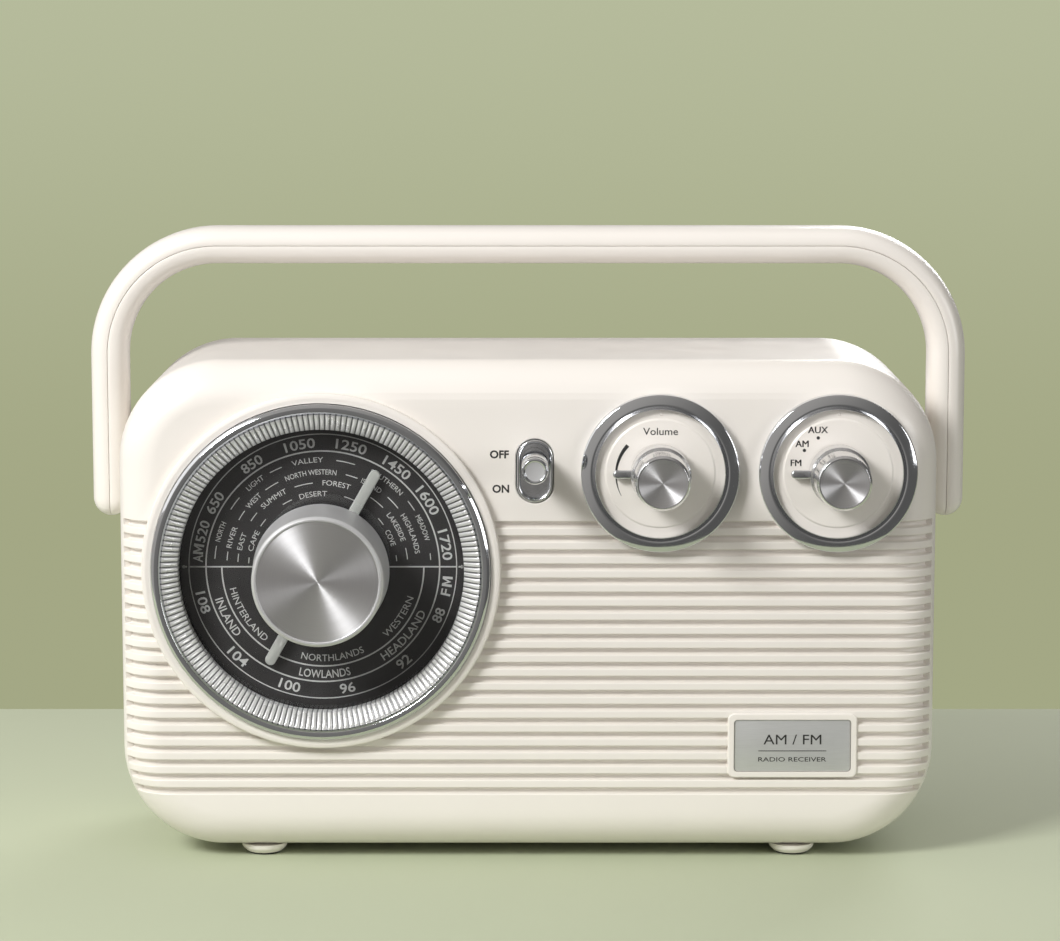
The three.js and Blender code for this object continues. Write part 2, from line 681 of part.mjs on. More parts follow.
function powerBezelGeometry() {
  const outside = solid(frontPlate(stadium(SWITCH_WIDTH, SWITCH_HEIGHT), -0.4, BEZEL_BACK));
  const inside = solid(frontPlate(
    stadium(SWITCH_WIDTH - 2 * BEZEL_RIM, SWITCH_HEIGHT - 2 * BEZEL_RIM), -1, BEZEL_FLOOR,
  ));
  const slotWidth = 2 * SLIDER_NECK_RADIUS + 2 * GAP;
  const slot = solid(frontPlate(stadium(slotWidth, slotWidth + SLIDER_TRAVEL + 0.6), 0, 6, 2));
  return geometryOf(cut(outside, inside, slot));
}

function powerSliderGeometry() {
  return turned([
    [0, -SLIDER_REACH + 0.5], [2.6, -SLIDER_REACH + 0.2], [3.2, -SLIDER_REACH],
    [SLIDER_RADIUS, -SLIDER_REACH + 0.7], [SLIDER_RADIUS, BEZEL_FLOOR - GAP],
    [SLIDER_NECK_RADIUS, BEZEL_FLOOR - GAP], [SLIDER_NECK_RADIUS, SLIDER_END], [0, SLIDER_END],
  ], 18);
}

function powerSwitchGeometry() {
  const [halfWidth, halfHeight, back] = [4.5, 8, 13];
  const block = solid(box(-halfWidth, halfWidth, BEZEL_BACK + GAP, back, -halfHeight, halfHeight));
  const neck = SLIDER_NECK_RADIUS + GAP;
  const reach = SLIDER_TRAVEL / 2 + neck + 0.2;
  const groove = solid(box(-neck, neck, 0, SLIDER_END + 0.4, -reach, reach));
  return geometryOf(block.subtract(groove));
}

addPiece(power, 'power_bezel', powerBezelGeometry(), 'chrome');
addPiece(power, 'power_switch', powerSwitchGeometry(), 'steel');
addPiece(power, 'power_slider', powerSliderGeometry(), 'chrome').position.z = SLIDER_TRAVEL / 2;

// ---------------------------------------------------------------- name plate

function namePlateGeometry() {
  const outline = roundedRectangle(NAME_PLATE_WIDTH, NAME_PLATE_HEIGHT, 1);
  return frontPlate(outline, FRONT - 0.2, FRONT + NAME_RECESS_DEPTH - GAP, 3);
}

const namePlate = addPiece(radio, 'name_plate', namePlateGeometry(), 'satinSilver');
namePlate.position.set(NAME_PLATE_X, 0, NAME_PLATE_Z);

// ---------------------------------------------------------------- handle

const HANDLE_EDGE = 4.4;            // rounding of the handle's long edges
const HANDLE_INNER_RADIUS = HANDLE_CORNER_RADIUS - HANDLE_THICKNESS;

// The U seen from the front, pulled in by inset on every side.
function handleOutline(inset) {
  const outerX = HANDLE_HALF_WIDTH - inset;
  const innerX = HANDLE_HALF_WIDTH - HANDLE_THICKNESS + inset;
  const outerZ = HANDLE_TOP_Z - inset;
  const innerZ = HANDLE_TOP_Z - HANDLE_THICKNESS + inset;
  const outerR = HANDLE_CORNER_RADIUS - inset;
  const innerR = HANDLE_INNER_RADIUS + inset;
  const legMiddle = HANDLE_HALF_WIDTH - HANDLE_THICKNESS / 2;
  const legR = HANDLE_THICKNESS / 2 - inset;
  const endZ = HANDLE_LEG_END_Z + HANDLE_THICKNESS / 2;
  const quarter = Math.PI / 2;
  const shape = new THREE.Shape();
  shape.absarc(outerX - outerR, outerZ - outerR, outerR, 0, quarter);
  shape.absarc(-outerX + outerR, outerZ - outerR, outerR, quarter, 2 * quarter);
  shape.absarc(-legMiddle, endZ, legR, 2 * quarter, 4 * quarter);
  shape.absarc(-innerX + innerR, innerZ - innerR, innerR, 2 * quarter, quarter, true);
  shape.absarc(innerX - innerR, innerZ - innerR, innerR, quarter, 0, true);
  shape.absarc(legMiddle, endZ, legR, 2 * quarter, 4 * quarter);
  shape.closePath();
  return shape;
}

// A block with the U's middle line as its edge: everything inside that line.
function insideOfSeam(shift) {
  const halfWidth = HANDLE_HALF_WIDTH - HANDLE_THICKNESS / 2 + shift;
  const top = HANDLE_TOP_Z - HANDLE_THICKNESS / 2 + shift;
  const radius = HANDLE_CORNER_RADIUS - HANDLE_THICKNESS / 2 + shift;
  const shape = new THREE.Shape();
  shape.moveTo(halfWidth, 0);
  shape.lineTo(halfWidth, top - radius);
  shape.absarc(halfWidth - radius, top - radius, radius, 0, Math.PI / 2);
  shape.absarc(radius - halfWidth, top - radius, radius, Math.PI / 2, Math.PI);
  shape.lineTo(-halfWidth, 0);
  shape.closePath();
  return solid(frontPlate(shape, HANDLE_Y - HANDLE_DEPTH, HANDLE_Y + HANDLE_DEPTH, 6));
}

function handleBlank() {
  const geometry = new THREE.ExtrudeGeometry(handleOutline(HANDLE_EDGE), {
    depth: HANDLE_DEPTH - 2 * HANDLE_EDGE,
    bevelThickness: HANDLE_EDGE,
    bevelSize: HANDLE_EDGE,
    bevelSegments: 2,
    curveSegments: 6,
  });
  const placed = geometry.rotateX(Math.PI / 2);
  return solid(placed.translate(0, HANDLE_Y + HANDLE_DEPTH / 2 - HANDLE_EDGE, 0));
}

const PIVOT_DEPTH_IN_HANDLE = 4;
const PIVOT_HEAD_RADIUS = 6;
const handleInnerFace = HANDLE_HALF_WIDTH - HANDLE_THICKNESS;

function pivotSocket(side) {
  const end = handleInnerFace + PIVOT_DEPTH_IN_HANDLE;
  const socket = sideways(bar(PIVOT_RADIUS + GAP, handleInnerFace - 2, end));
  const turnedRound = side < 0 ? socket.rotateZ(Math.PI) : socket;
  return solid(turnedRound.translate(0, HANDLE_Y, HANDLE_PIVOT_Z));
}

const blank = handleBlank();
const outerShell = blank.subtract(insideOfSeam(GAP / 2));
const innerShell = cut(blank.intersect(insideOfSeam(-GAP / 2)), pivotSocket(-1), pivotSocket(1));
addPiece(radio, 'handle_outer_shell', geometryOf(outerShell), 'creamPlastic');
addPiece(radio, 'handle_inner_shell', geometryOf(innerShell), 'creamPlastic');

// Stepped pin: a wide head inside the cabinet wall, the round end in the handle's leg.
function pivotPinGeometry() {
  const head = BODY_WIDTH / 2 - WALL - 0.5;
  const end = handleInnerFace + PIVOT_DEPTH_IN_HANDLE - GAP;
  return sideways(turned([
    [0, head - 2.4], [PIVOT_HEAD_RADIUS, head - 2.4], [PIVOT_HEAD_RADIUS, head],
    [PIVOT_RADIUS, head], [PIVOT_RADIUS, end], [0, end],
  ], PIN_FACETS));
}

for (const [side, turn] of [['right', 0], ['left', Math.PI]]) {
  const pin = addPiece(radio, `handle_pivot_${side}`, pivotPinGeometry(), 'steel');
  pin.position.set(0, HANDLE_Y, HANDLE_PIVOT_Z);
  pin.rotation.z = turn;
}

// ---------------------------------------------------------------- loudspeaker

const speaker = groupAt(SPEAKER_X, FRONT, SPEAKER_Z);
const FLANGE_FRONT = WALL + GAP;
const BASKET_BACK = 20.5;
const BASKET_SHEET = 1.2;
const MAGNET_RADIUS = 18;
const VENT_RADIUS = 11;

addPiece(speaker, 'speaker_basket', turned([
  [SPEAKER_RADIUS, FLANGE_FRONT], [SPEAKER_RADIUS, FLANGE_FRONT + 1.5],
  [SPEAKER_RADIUS - 2.5, FLANGE_FRONT + 1.5], [MAGNET_RADIUS + 0.5, BASKET_BACK],
  [VENT_RADIUS, BASKET_BACK], [VENT_RADIUS, BASKET_BACK - BASKET_SHEET],
  [MAGNET_RADIUS - 0.4, BASKET_BACK - BASKET_SHEET], [SPEAKER_RADIUS - 3.8, FLANGE_FRONT],
], 24), 'steel');

// Roll surround, cone and dust cap in one shell, closed on the axis.
addPiece(speaker, 'speaker_cone', turned([
  [27.2, FLANGE_FRONT + 1], [25.6, FLANGE_FRONT + 0.4], [9, 15.2], [6, 12.6], [0, 11.6],
  [0, 12.6], [5.6, 13.6], [8.8, 16.4], [27, FLANGE_FRONT + 2],
], 20), 'paperCone');

addPiece(speaker, 'speaker_magnet', bar(MAGNET_RADIUS, BASKET_BACK + GAP, 31, 20), 'ferrite');

// ---------------------------------------------------------------- electronics

const BOARD_FRONT = FRONT + 28;
const BOARD_THICKNESS = 1.6;
const BOARD_HALF_WIDTH = 88;
const BOARD_BOTTOM_Z = 76;
const BOARD_TOP_Z = 134;

addPiece(radio, 'main_board', box(
  -BOARD_HALF_WIDTH, BOARD_HALF_WIDTH, BOARD_FRONT, BOARD_FRONT + BOARD_THICKNESS,
  BOARD_BOTTOM_Z, BOARD_TOP_Z,
), 'circuitBoard');

const FERRITE_RADIUS = 4.5;
const FERRITE_HALF_LENGTH = 55;
const FERRITE_Y = FRONT + 50;
const FERRITE_Z = 134.5;
const COIL_RADIUS = 6.6;
const COIL_HALF_LENGTH = 12;
const CEILING = FOOT_HEIGHT + BODY_HEIGHT - WALL - FERRITE_Z;
const BRACKET_ARM_X = 28;
const BRACKET_HALF_DEPTH = 7;

const ferrite = groupAt(0, FERRITE_Y, FERRITE_Z);

addPiece(ferrite, 'ferrite_rod', sideways(
  bar(FERRITE_RADIUS, -FERRITE_HALF_LENGTH, FERRITE_HALF_LENGTH),
), 'ferrite');

addPiece(ferrite, 'ferrite_coil', sideways(turned([
  [FERRITE_RADIUS + GAP, -COIL_HALF_LENGTH], [COIL_RADIUS, -COIL_HALF_LENGTH],
  [COIL_RADIUS, COIL_HALF_LENGTH], [FERRITE_RADIUS + GAP, COIL_HALF_LENGTH],
], 16)), 'copper');

function ferriteBracketGeometry() {
  const deep = BRACKET_HALF_DEPTH;
  const railReach = BRACKET_ARM_X + 4;
  const rail = solid(box(-railReach, railReach, -deep, deep, CEILING - 2.5, CEILING - GAP));
  const arms = [-BRACKET_ARM_X, BRACKET_ARM_X].map(
    (x) => solid(box(x - 3, x + 3, -deep, deep, -deep, CEILING - 1)),
  );
  const bore = solid(sideways(bar(FERRITE_RADIUS + GAP, -railReach - 1, railReach + 1)));
  return geometryOf(cut(join(rail, ...arms), bore));
}

addPiece(ferrite, 'ferrite_bracket', ferriteBracketGeometry(), 'blackPlastic');

// ---------------------------------------------------------------- battery box and door

const BATTERY_BOX_DEPTH = 19;
const BATTERY_BOX_HALF_WIDTH = 34;
const BATTERY_BOX_HALF_HEIGHT = 30;
const BATTERY_BOX_WALL = 1.6;
const boxBack = BACK - WALL - GAP;

function batteryBoxGeometry() {
  const [halfWidth, halfHeight] = [BATTERY_BOX_HALF_WIDTH, BATTERY_BOX_HALF_HEIGHT];
  const wall = BATTERY_BOX_WALL;
  const front = boxBack - BATTERY_BOX_DEPTH;
  const outside = solid(box(
    -halfWidth, halfWidth, front, boxBack, BATTERY_Z - halfHeight, BATTERY_Z + halfHeight,
  ));
  const inside = solid(box(
    -halfWidth + wall, halfWidth - wall, front + wall, boxBack + 1,
    BATTERY_Z - halfHeight + wall, BATTERY_Z + halfHeight - wall,
  ));
  return geometryOf(outside.subtract(inside));
}

addPiece(radio, 'battery_box', batteryBoxGeometry(), 'blackPlastic');

const CONTACT_THICKNESS = 0.6;
const CONTACT_HALF_WIDTH = 30;

function contactPlateGeometry() {
  const top = BATTERY_Z + BATTERY_BOX_HALF_HEIGHT - BATTERY_BOX_WALL - GAP;
  return box(
    -CONTACT_HALF_WIDTH, CONTACT_HALF_WIDTH, boxBack - 15.5, boxBack - 3.5, top - CONTACT_THICKNESS, top,
  );
}

addPiece(radio, 'battery_contact_plate', contactPlateGeometry(), 'steel');

const NOTCH_RADIUS = 9;             // thumb notch in the door's upper edge

// The lower edge is round about the hinge pins, so the door swings clear of its opening.
function batteryDoorGeometry() {
  const half = DOOR_THICKNESS / 2;
  const top = BATTERY_Z + DOOR_HEIGHT / 2 - DOOR_AXIS_Z;
  const section = new THREE.Shape();
  section.moveTo(half, 0);
  section.lineTo(half, top);
  section.lineTo(-half, top);
  section.lineTo(-half, 0);
  section.absarc(0, 0, half, Math.PI, 2 * Math.PI);
  section.closePath();
  const panel = new THREE.ExtrudeGeometry(section, {
    depth: DOOR_WIDTH, bevelEnabled: false, curveSegments: 6,
  });
  panel.rotateY(Math.PI / 2).rotateX(Math.PI / 2).translate(-DOOR_WIDTH / 2, 0, 0);
  const reach = DOOR_WIDTH / 2 + HINGE_PIN_REACH;
  const pin = sideways(bar(HINGE_PIN_RADIUS, -reach, reach, 8));
  const fingerNotch = bar(NOTCH_RADIUS, -1, 1.2, 16).translate(0, half, top);
  return geometryOf(cut(join(solid(panel), solid(pin)), solid(fingerNotch)));
}

const batteryDoor = addPiece(radio, 'battery_door', batteryDoorGeometry(), 'creamPlastic');
batteryDoor.position.set(0, DOOR_AXIS_Y, DOOR_AXIS_Z);

// ---------------------------------------------------------------- sockets

function usbSocketGeometry() {
  const mouthShape = roundedRectangle(USB_WIDTH - 1, USB_HEIGHT - 1, 1);
  const shell = solid(frontPlate(roundedRectangle(USB_WIDTH, USB_HEIGHT, 1.3), BACK - 8, BACK - 0.4, 3));
  const mouth = solid(frontPlate(mouthShape, BACK - 6.5, BACK + 1, 3));
  const tongue = solid(box(-3.2, 3.2, BACK - 7, BACK - 2, -0.35, 0.35));
  return geometryOf(join(shell.subtract(mouth), tongue));
}

const AUX_BORE = 1.8;               // takes a 3.5 mm plug
const AUX_BODY_RADIUS = 5;
const AUX_DEPTH = 12;

function auxSocketGeometry() {
  const [mouth, shoulder, floor] = [BACK - GAP, BACK - WALL - GAP, BACK - AUX_DEPTH];
  return turned([
    [AUX_BORE, mouth], [AUX_RADIUS, mouth], [AUX_RADIUS, shoulder], [AUX_BODY_RADIUS, shoulder],
    [AUX_BODY_RADIUS, floor - 1], [0, floor - 1], [0, floor], [AUX_BORE, floor],
  ], PIN_FACETS);
}

const usbSocket = addPiece(radio, 'usb_power_socket', usbSocketGeometry(), 'steel');
usbSocket.position.set(USB_X, 0, SOCKET_Z);
const auxSocket = addPiece(radio, 'aux_socket', auxSocketGeometry(), 'blackPlastic');
auxSocket.position.set(AUX_X, 0, SOCKET_Z);

// ---------------------------------------------------------------- telescopic antenna
// Local frame: x runs along the folded rod from the tilt pin, y = 0 on the rod's axis.

const antenna = groupAt(ANTENNA_X, ANTENNA_AXIS_Y, ANTENNA_Z);
const ROD_RADIUS = 2.5;
const MIDDLE_ROD_RADIUS = 1.6;
const TIP_ROD_RADIUS = 0.8;
const TIP_CAP_RADIUS = 2.6;
const TONGUE_HALF = 1.6;            // half thickness of the rod's flattened end
const EAR_THICKNESS = 1.4;
const SWIVEL_RADIUS = 6.4;

function antennaBaseGeometry() {
  const seat = BACK + GAP - ANTENNA_AXIS_Y;
  const puck = solid(bar(SWIVEL_RADIUS, seat, -ROD_RADIUS - GAP, 18));
  const stem = solid(bar(ANTENNA_STEM_RADIUS, seat - WALL - 1, seat + 1));
  const half = EAR_THICKNESS / 2;
  const ears = [-1, 1].map((side) => {
    const middle = side * (TONGUE_HALF + GAP + half);
    return solid(box(
      -ROD_RADIUS, ROD_RADIUS, -ROD_RADIUS - 1, ROD_RADIUS - GAP, middle - half, middle + half,
    ));
  });
  return geometryOf(join(puck, stem, ...ears));
}

function antennaLowerGeometry() {
  const tube = solid(sideways(turned([
    [0, 4], [ROD_RADIUS, 4], [ROD_RADIUS, ANTENNA_LENGTH],
    [MIDDLE_ROD_RADIUS + GAP, ANTENNA_LENGTH], [MIDDLE_ROD_RADIUS + GAP, 10], [0, 10],
  ], PIN_FACETS)));
  const knuckle = solid(upright(bar(ROD_RADIUS - 0.1, -TONGUE_HALF, TONGUE_HALF, 16)));
  const tongue = solid(box(0, 5, -ROD_RADIUS + 0.3, ROD_RADIUS - 0.3, -TONGUE_HALF, TONGUE_HALF));
  return geometryOf(join(tube, knuckle, tongue));
}

function antennaMiddleGeometry() {
  const end = ANTENNA_LENGTH + 2;
  const bore = TIP_ROD_RADIUS + GAP;
  return sideways(turned([
    [0, 12], [MIDDLE_ROD_RADIUS, 12], [MIDDLE_ROD_RADIUS, end], [bore, end], [bore, 18], [0, 18],
  ], PIN_FACETS));
}

function antennaTipGeometry() {
  const cap = ANTENNA_LENGTH + 2 + GAP;
  return sideways(turned([
    [0, 20], [TIP_ROD_RADIUS, 20], [TIP_ROD_RADIUS, cap], [TIP_CAP_RADIUS - 0.2, cap],
    [TIP_CAP_RADIUS, cap + 0.6], [TIP_CAP_RADIUS, cap + 2.6], [TIP_CAP_RADIUS - 1, cap + 3.6],
    [0, cap + 3.8],
  ], PIN_FACETS));
}

addPiece(antenna, 'antenna_base', antennaBaseGeometry(), 'blackPlastic');
addPiece(antenna, 'antenna_section_lower', antennaLowerGeometry(), 'chrome');
addPiece(antenna, 'antenna_section_middle', antennaMiddleGeometry(), 'chrome');
addPiece(antenna, 'antenna_section_tip', antennaTipGeometry(), 'chrome');

export default radio;
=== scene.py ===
import math

import bmesh
import bpy
from mathutils import Matrix, Vector


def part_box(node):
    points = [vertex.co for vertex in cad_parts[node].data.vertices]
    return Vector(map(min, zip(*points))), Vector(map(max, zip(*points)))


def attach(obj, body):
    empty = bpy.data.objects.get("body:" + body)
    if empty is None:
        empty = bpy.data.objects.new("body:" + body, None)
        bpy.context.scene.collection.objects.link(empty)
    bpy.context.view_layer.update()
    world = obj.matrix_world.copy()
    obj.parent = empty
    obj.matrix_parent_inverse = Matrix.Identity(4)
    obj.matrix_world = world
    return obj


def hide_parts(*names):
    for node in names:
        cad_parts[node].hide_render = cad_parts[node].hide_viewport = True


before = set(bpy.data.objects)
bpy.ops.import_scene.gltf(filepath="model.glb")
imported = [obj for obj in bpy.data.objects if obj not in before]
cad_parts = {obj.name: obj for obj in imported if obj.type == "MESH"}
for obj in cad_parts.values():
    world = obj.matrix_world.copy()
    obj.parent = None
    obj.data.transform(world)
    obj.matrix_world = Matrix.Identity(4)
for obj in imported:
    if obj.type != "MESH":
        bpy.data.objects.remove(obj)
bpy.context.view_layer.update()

# Shapes are worked out in millimetres and built in metres, in the CAD frame:
# +X to the right of the front, +Y to the back, +Z up, standing on z = 0.
MM = 0.001

# ---------------- places, read from the frame


def corners(node):
    low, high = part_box(node)
    return low / MM, high / MM


def middle(node):
    low, high = corners(node)
    return (low + high) / 2


def located(node):
    """A node's corners and its middle (x, z), as seen from the front."""
    low, high = corners(node)
    return low, high, (low.x + high.x) / 2, (low.z + high.z) / 2


front_low, front_high = corners("front_cabinet")
rear_low, rear_high = corners("rear_cabinet")
NAME_FRAME_RISE = 0.6               # the name plate's frame stands this far out of the front
FRONT = front_low.y + NAME_FRAME_RISE
BACK = rear_high.y
PARTING = (front_high.y + rear_low.y) / 2
HALF_WIDTH = front_high.x
BOTTOM, TOP = front_low.z, front_high.z
HALF_HEIGHT = (TOP - BOTTOM) / 2
MIDDLE_Z = (TOP + BOTTOM) / 2

CORNER = 30                         # the four corners seen from the front
FILLET = 12                         # rounding along the front and rear edges
WALL = 2.6
SEAM = 0.3                          # open line between the two halves of the cabinet

GROOVES = 20
GROOVE_TOP = 100.8
GROOVE_PITCH = 4.174
GROOVE_END_ANGLE = 30               # where a groove stops on the rounded edge, 90 is the front face

DIAL = middle("dial_bezel")
DIAL_RADIUS = (corners("dial_bezel")[1].x - corners("dial_bezel")[0].x) / 2
KNURL_RADIUS = DIAL_RADIUS - 3
VIEW_RADIUS = DIAL_RADIUS - 7.7
WINDOW_FRONT = corners("dial_window")[0].y - FRONT
PLATE_FRONT = corners("dial_plate")[0].y - FRONT

# ---------------- mesh helpers


def new_object(name, mesh):
    item = bpy.data.objects.new(name, mesh)
    bpy.context.scene.collection.objects.link(item)
    return item


def mesh_from(points, faces, merge=True):
    """A mesh from millimetre points, doubled points joined and faces turned outward."""
    mesh = bpy.data.meshes.new("mesh")
    mesh.from_pydata([Vector(p) * MM for p in points], [], faces)
    work = bmesh.new()
    work.from_mesh(mesh)
    if merge:
        bmesh.ops.remove_doubles(work, verts=work.verts, dist=2e-7)
        bmesh.ops.dissolve_degenerate(work, edges=work.edges, dist=1e-8)
    bmesh.ops.recalc_face_normals(work, faces=work.faces)
    work.to_mesh(mesh)
    work.free()
    return mesh


def smooth(mesh, angle=32):
    mesh.shade_smooth()
    mesh.set_sharp_from_angle(angle=math.radians(angle))


def weighted(item):
    """Keeps broad flat faces flat under smooth shading."""
    modifier = item.modifiers.new("weighted", "WEIGHTED_NORMAL")
    modifier.keep_sharp = True
    modifier.weight = 80


def piece(name, mesh, material, body, replaces=(), angle=32, flats=False):
    """Makes a finished piece that moves with a CAD body."""
    smooth(mesh, angle)
    for entry in material if isinstance(material, (list, tuple)) else [material]:
        mesh.materials.append(entry)
    item = new_object(name, mesh)
    if flats:
        weighted(item)
    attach(item, body)
    if replaces:
        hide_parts(*replaces)
    return item


def loft(rings, caps=True, loop=False):
    """Joins closed rings of equal length into a surface. loop joins the last ring to the first."""
    count = len(rings[0])
    points = [p for ring in rings for p in ring]
    faces = []
    spans = len(rings) if loop else len(rings) - 1
    for i in range(spans):
        here, there = i * count, (i + 1) % len(rings) * count
        for j in range(count):
            k = (j + 1) % count
            faces.append((here + j, here + k, there + k, there + j))
    if caps and not loop:
        faces.append(tuple(range(count)))
        faces.append(tuple(range((len(rings) - 1) * count, len(rings) * count)))
    return points, faces


def skin(rings, **options):
    """The closed mesh over a loft of rings."""
    points, faces = loft(rings, **options)
    return mesh_from(points, faces)


def rounded(corners_in, closed=True, steps=4):
    """A profile whose points (a, b, radius) get round corners."""
    out = []
    count = len(corners_in)
    for i, corner in enumerate(corners_in):
        here = Vector(corner[:2])
        radius = corner[2] if len(corner) > 2 else 0
        if radius == 0 or (not closed and i in (0, count - 1)):
            out.append(tuple(here))
            continue
        before = Vector(corners_in[i - 1][:2]) - here
        after = Vector(corners_in[(i + 1) % count][:2]) - here
        half = before.angle(after) / 2
        reach = min(radius / math.tan(half), 0.48 * before.length, 0.48 * after.length)
        real = reach * math.tan(half)
        centre = here + (before.normalized() + after.normalized()).normalized() * real / math.sin(half)
        start = here + before.normalized() * reach - centre
        end = here + after.normalized() * reach - centre
        for k in range(steps + 1):
            share = k / steps
            turn = start.angle_signed(end) * share
            # angle_signed is clockwise for 2-D vectors
            c, s = math.cos(-turn), math.sin(-turn)
            out.append((centre.x + start.x * c - start.y * s, centre.y + start.x * s + start.y * c))
    return out


def lathe(profile, centre_x, centre_z, steps=96, axis="Y", centre_y=0.0):
    """Turns a profile of (radius, along) points.

    Along is from the front face on the Y axis, and from the origin on X and Z.
    """
    on_axis = profile[0][0] == 0 and profile[-1][0] == 0
    rings = []
    for radius, along in profile:
        ring = []
        for k in range(steps):
            a = 2 * math.pi * k / steps
            c, s = radius * math.cos(a), radius * math.sin(a)
            if axis == "Y":
                ring.append((centre_x + c, FRONT + along, centre_z + s))
            elif axis == "Z":
                ring.append((centre_x + c, centre_y + s, centre_z + along))
            else:
                ring.append((centre_x + along, centre_y + c, centre_z + s))
        rings.append(ring)
    return skin(rings, caps=False, loop=not on_axis)


def turned(profile, centre_x, centre_z, steps):
    """A lathe shape on a Y axis whose profile gives frame Y instead of a depth."""
    return lathe([(r, y - FRONT) for r, y in profile], centre_x, centre_z, steps)


def stadium_outline(width, height, corner, arc_steps=8):
    """Rounded rectangle as a function of inset, points (x, z) round its middle."""

    def at(inset):
        radius = max(corner - inset, 0.02)
        right, top = width / 2 - inset - radius, height / 2 - inset - radius
        points = []
        for quarter, (sx, sz) in enumerate([(1, 1), (-1, 1), (-1, -1), (1, -1)]):
            for k in range(arc_steps + 1):
                a = math.pi / 2 * (quarter + k / arc_steps)
                points.append((sx * right + radius * math.cos(a), sz * top + radius * math.sin(a)))
        return points

    return at


def slab(outline, levels, centre_x, centre_z, base=None):
    """A solid built up from levels (inset, along) of one outline, seen from the front."""
    origin = FRONT if base is None else base
    rings = [
        [(centre_x + x, origin + along, centre_z + z) for x, z in outline(inset)]
        for inset, along in levels
    ]
    return skin(rings)


def carve(item_mesh, tools, operation="DIFFERENCE"):
    """Boolean of a mesh with each tool mesh in turn, returned as a new mesh."""
    item = new_object("carving", item_mesh)
    others = []
    for tool in tools:
        other = new_object("tool", tool)
        others.append(other)
        modifier = item.modifiers.new("cut", "BOOLEAN")
        modifier.operation = operation
        modifier.solver = "EXACT"
        modifier.object = other
    depsgraph = bpy.context.evaluated_depsgraph_get()
    result = bpy.data.meshes.new_from_object(item.evaluated_get(depsgraph))
    for other in [item, *others]:
        bpy.data.objects.remove(other)
    return result


def joined(*meshes):
    """Several meshes as one."""
    work = bmesh.new()
    for mesh in meshes:
        work.from_mesh(mesh)
    whole = bpy.data.meshes.new("joined")
    work.to_mesh(whole)
    work.free()
    return whole


def soft_block(x0, x1, y0, y1, z0, z1, corner, edge, steps=3):
    """A block seen from the front with round corners and softened front and rear edges."""
    outline = stadium_outline(x1 - x0, z1 - z0, corner, 5)
    turns = [math.pi / 2 * k / steps for k in range(steps + 1)]
    levels = [(edge * (1 - math.sin(t)), edge * (1 - math.cos(t))) for t in turns]
    far = y1 - y0
    levels += [(edge * (1 - math.sin(t)), far - edge * (1 - math.cos(t))) for t in reversed(turns)]
    return slab(outline, levels, (x0 + x1) / 2, (z0 + z1) / 2, base=y0)


# ---------------- materials


class Shader:
    """A Principled material with helpers for procedural detail."""

    def __init__(self, name, colour, roughness, metallic=0.0):
        self.material = bpy.data.materials.new(name)
        self.material.use_nodes = True
        self.tree = self.material.node_tree
        self.nodes = self.tree.nodes
        self.shader = self.nodes["Principled BSDF"]
        self.set("Base Color", (*colour, 1))
        self.set("Roughness", roughness)
        self.set("Metallic", metallic)
        self.colour = colour
        self.bumps = []
        self.coordinates = self.nodes.new("ShaderNodeTexCoord")

    def set(self, socket, value):
        self.shader.inputs[socket].default_value = value

    def link(self, source, target):
        self.tree.links.new(source, target)

    def noise(self, scale, detail=3.0, stretch=(1, 1, 1), space="Object"):
        mapping = self.nodes.new("ShaderNodeMapping")
        mapping.inputs["Scale"].default_value = stretch
        self.link(self.coordinates.outputs[space], mapping.inputs["Vector"])
        texture = self.nodes.new("ShaderNodeTexNoise")
        texture.inputs["Scale"].default_value = scale
        texture.inputs["Detail"].default_value = detail
        self.link(mapping.outputs["Vector"], texture.inputs["Vector"])
        return texture.outputs["Fac"]

    def vector(self, operation, source, value=None):
        node = self.nodes.new("ShaderNodeVectorMath")
        node.operation = operation
        if value:
            node.inputs[1].default_value = value
        self.link(source, node.inputs[0])
        return node

    def ranged(self, source, low, high):
        ramp = self.nodes.new("ShaderNodeMapRange")
        ramp.inputs["From Min"].default_value = 0.3
        ramp.inputs["From Max"].default_value = 0.7
        ramp.inputs["To Min"].default_value = low
        ramp.inputs["To Max"].default_value = high
        self.link(source, ramp.inputs["Value"])
        return ramp.outputs["Result"]

    def vary_roughness(self, source, low, high):
        self.link(self.ranged(source, low, high), self.shader.inputs["Roughness"])

    def vary_colour(self, source, dark, light):
        mix = self.nodes.new("ShaderNodeMix")
        mix.data_type = "RGBA"
        mix.inputs["A"].default_value = (*[c * dark for c in self.colour], 1)
        mix.inputs["B"].default_value = (*[min(1, c * light) for c in self.colour], 1)
        self.link(self.ranged(source, 0, 1), mix.inputs["Factor"])
        self.link(mix.outputs["Result"], self.shader.inputs["Base Color"])

    def bump(self, source, strength, distance):
        node = self.nodes.new("ShaderNodeBump")
        node.inputs["Strength"].default_value = strength
        node.inputs["Distance"].default_value = distance
        self.link(source, node.inputs["Height"])
        if self.bumps:
            self.link(self.bumps[-1].outputs["Normal"], node.inputs["Normal"])
        self.bumps.append(node)
        self.link(node.outputs["Normal"], self.shader.inputs["Normal"])


def finished(paint, rough, tone=None, bumps=(), stretch=(1, 1, 1)):
    """Adds procedural detail to a Shader and returns its material.

    Rough and tone are (noise scale, detail, low, high). A bump is (scale, detail, strength, distance).
    """
    scale, detail, low, high = rough
    paint.vary_roughness(paint.noise(scale, detail, stretch), low, high)
    if tone:
        scale, detail, dark, light = tone
        paint.vary_colour(paint.noise(scale, detail, stretch), dark, light)
    for scale, detail, strength, distance in bumps:
        paint.bump(paint.noise(scale, detail, stretch), strength, distance)
    return paint.material


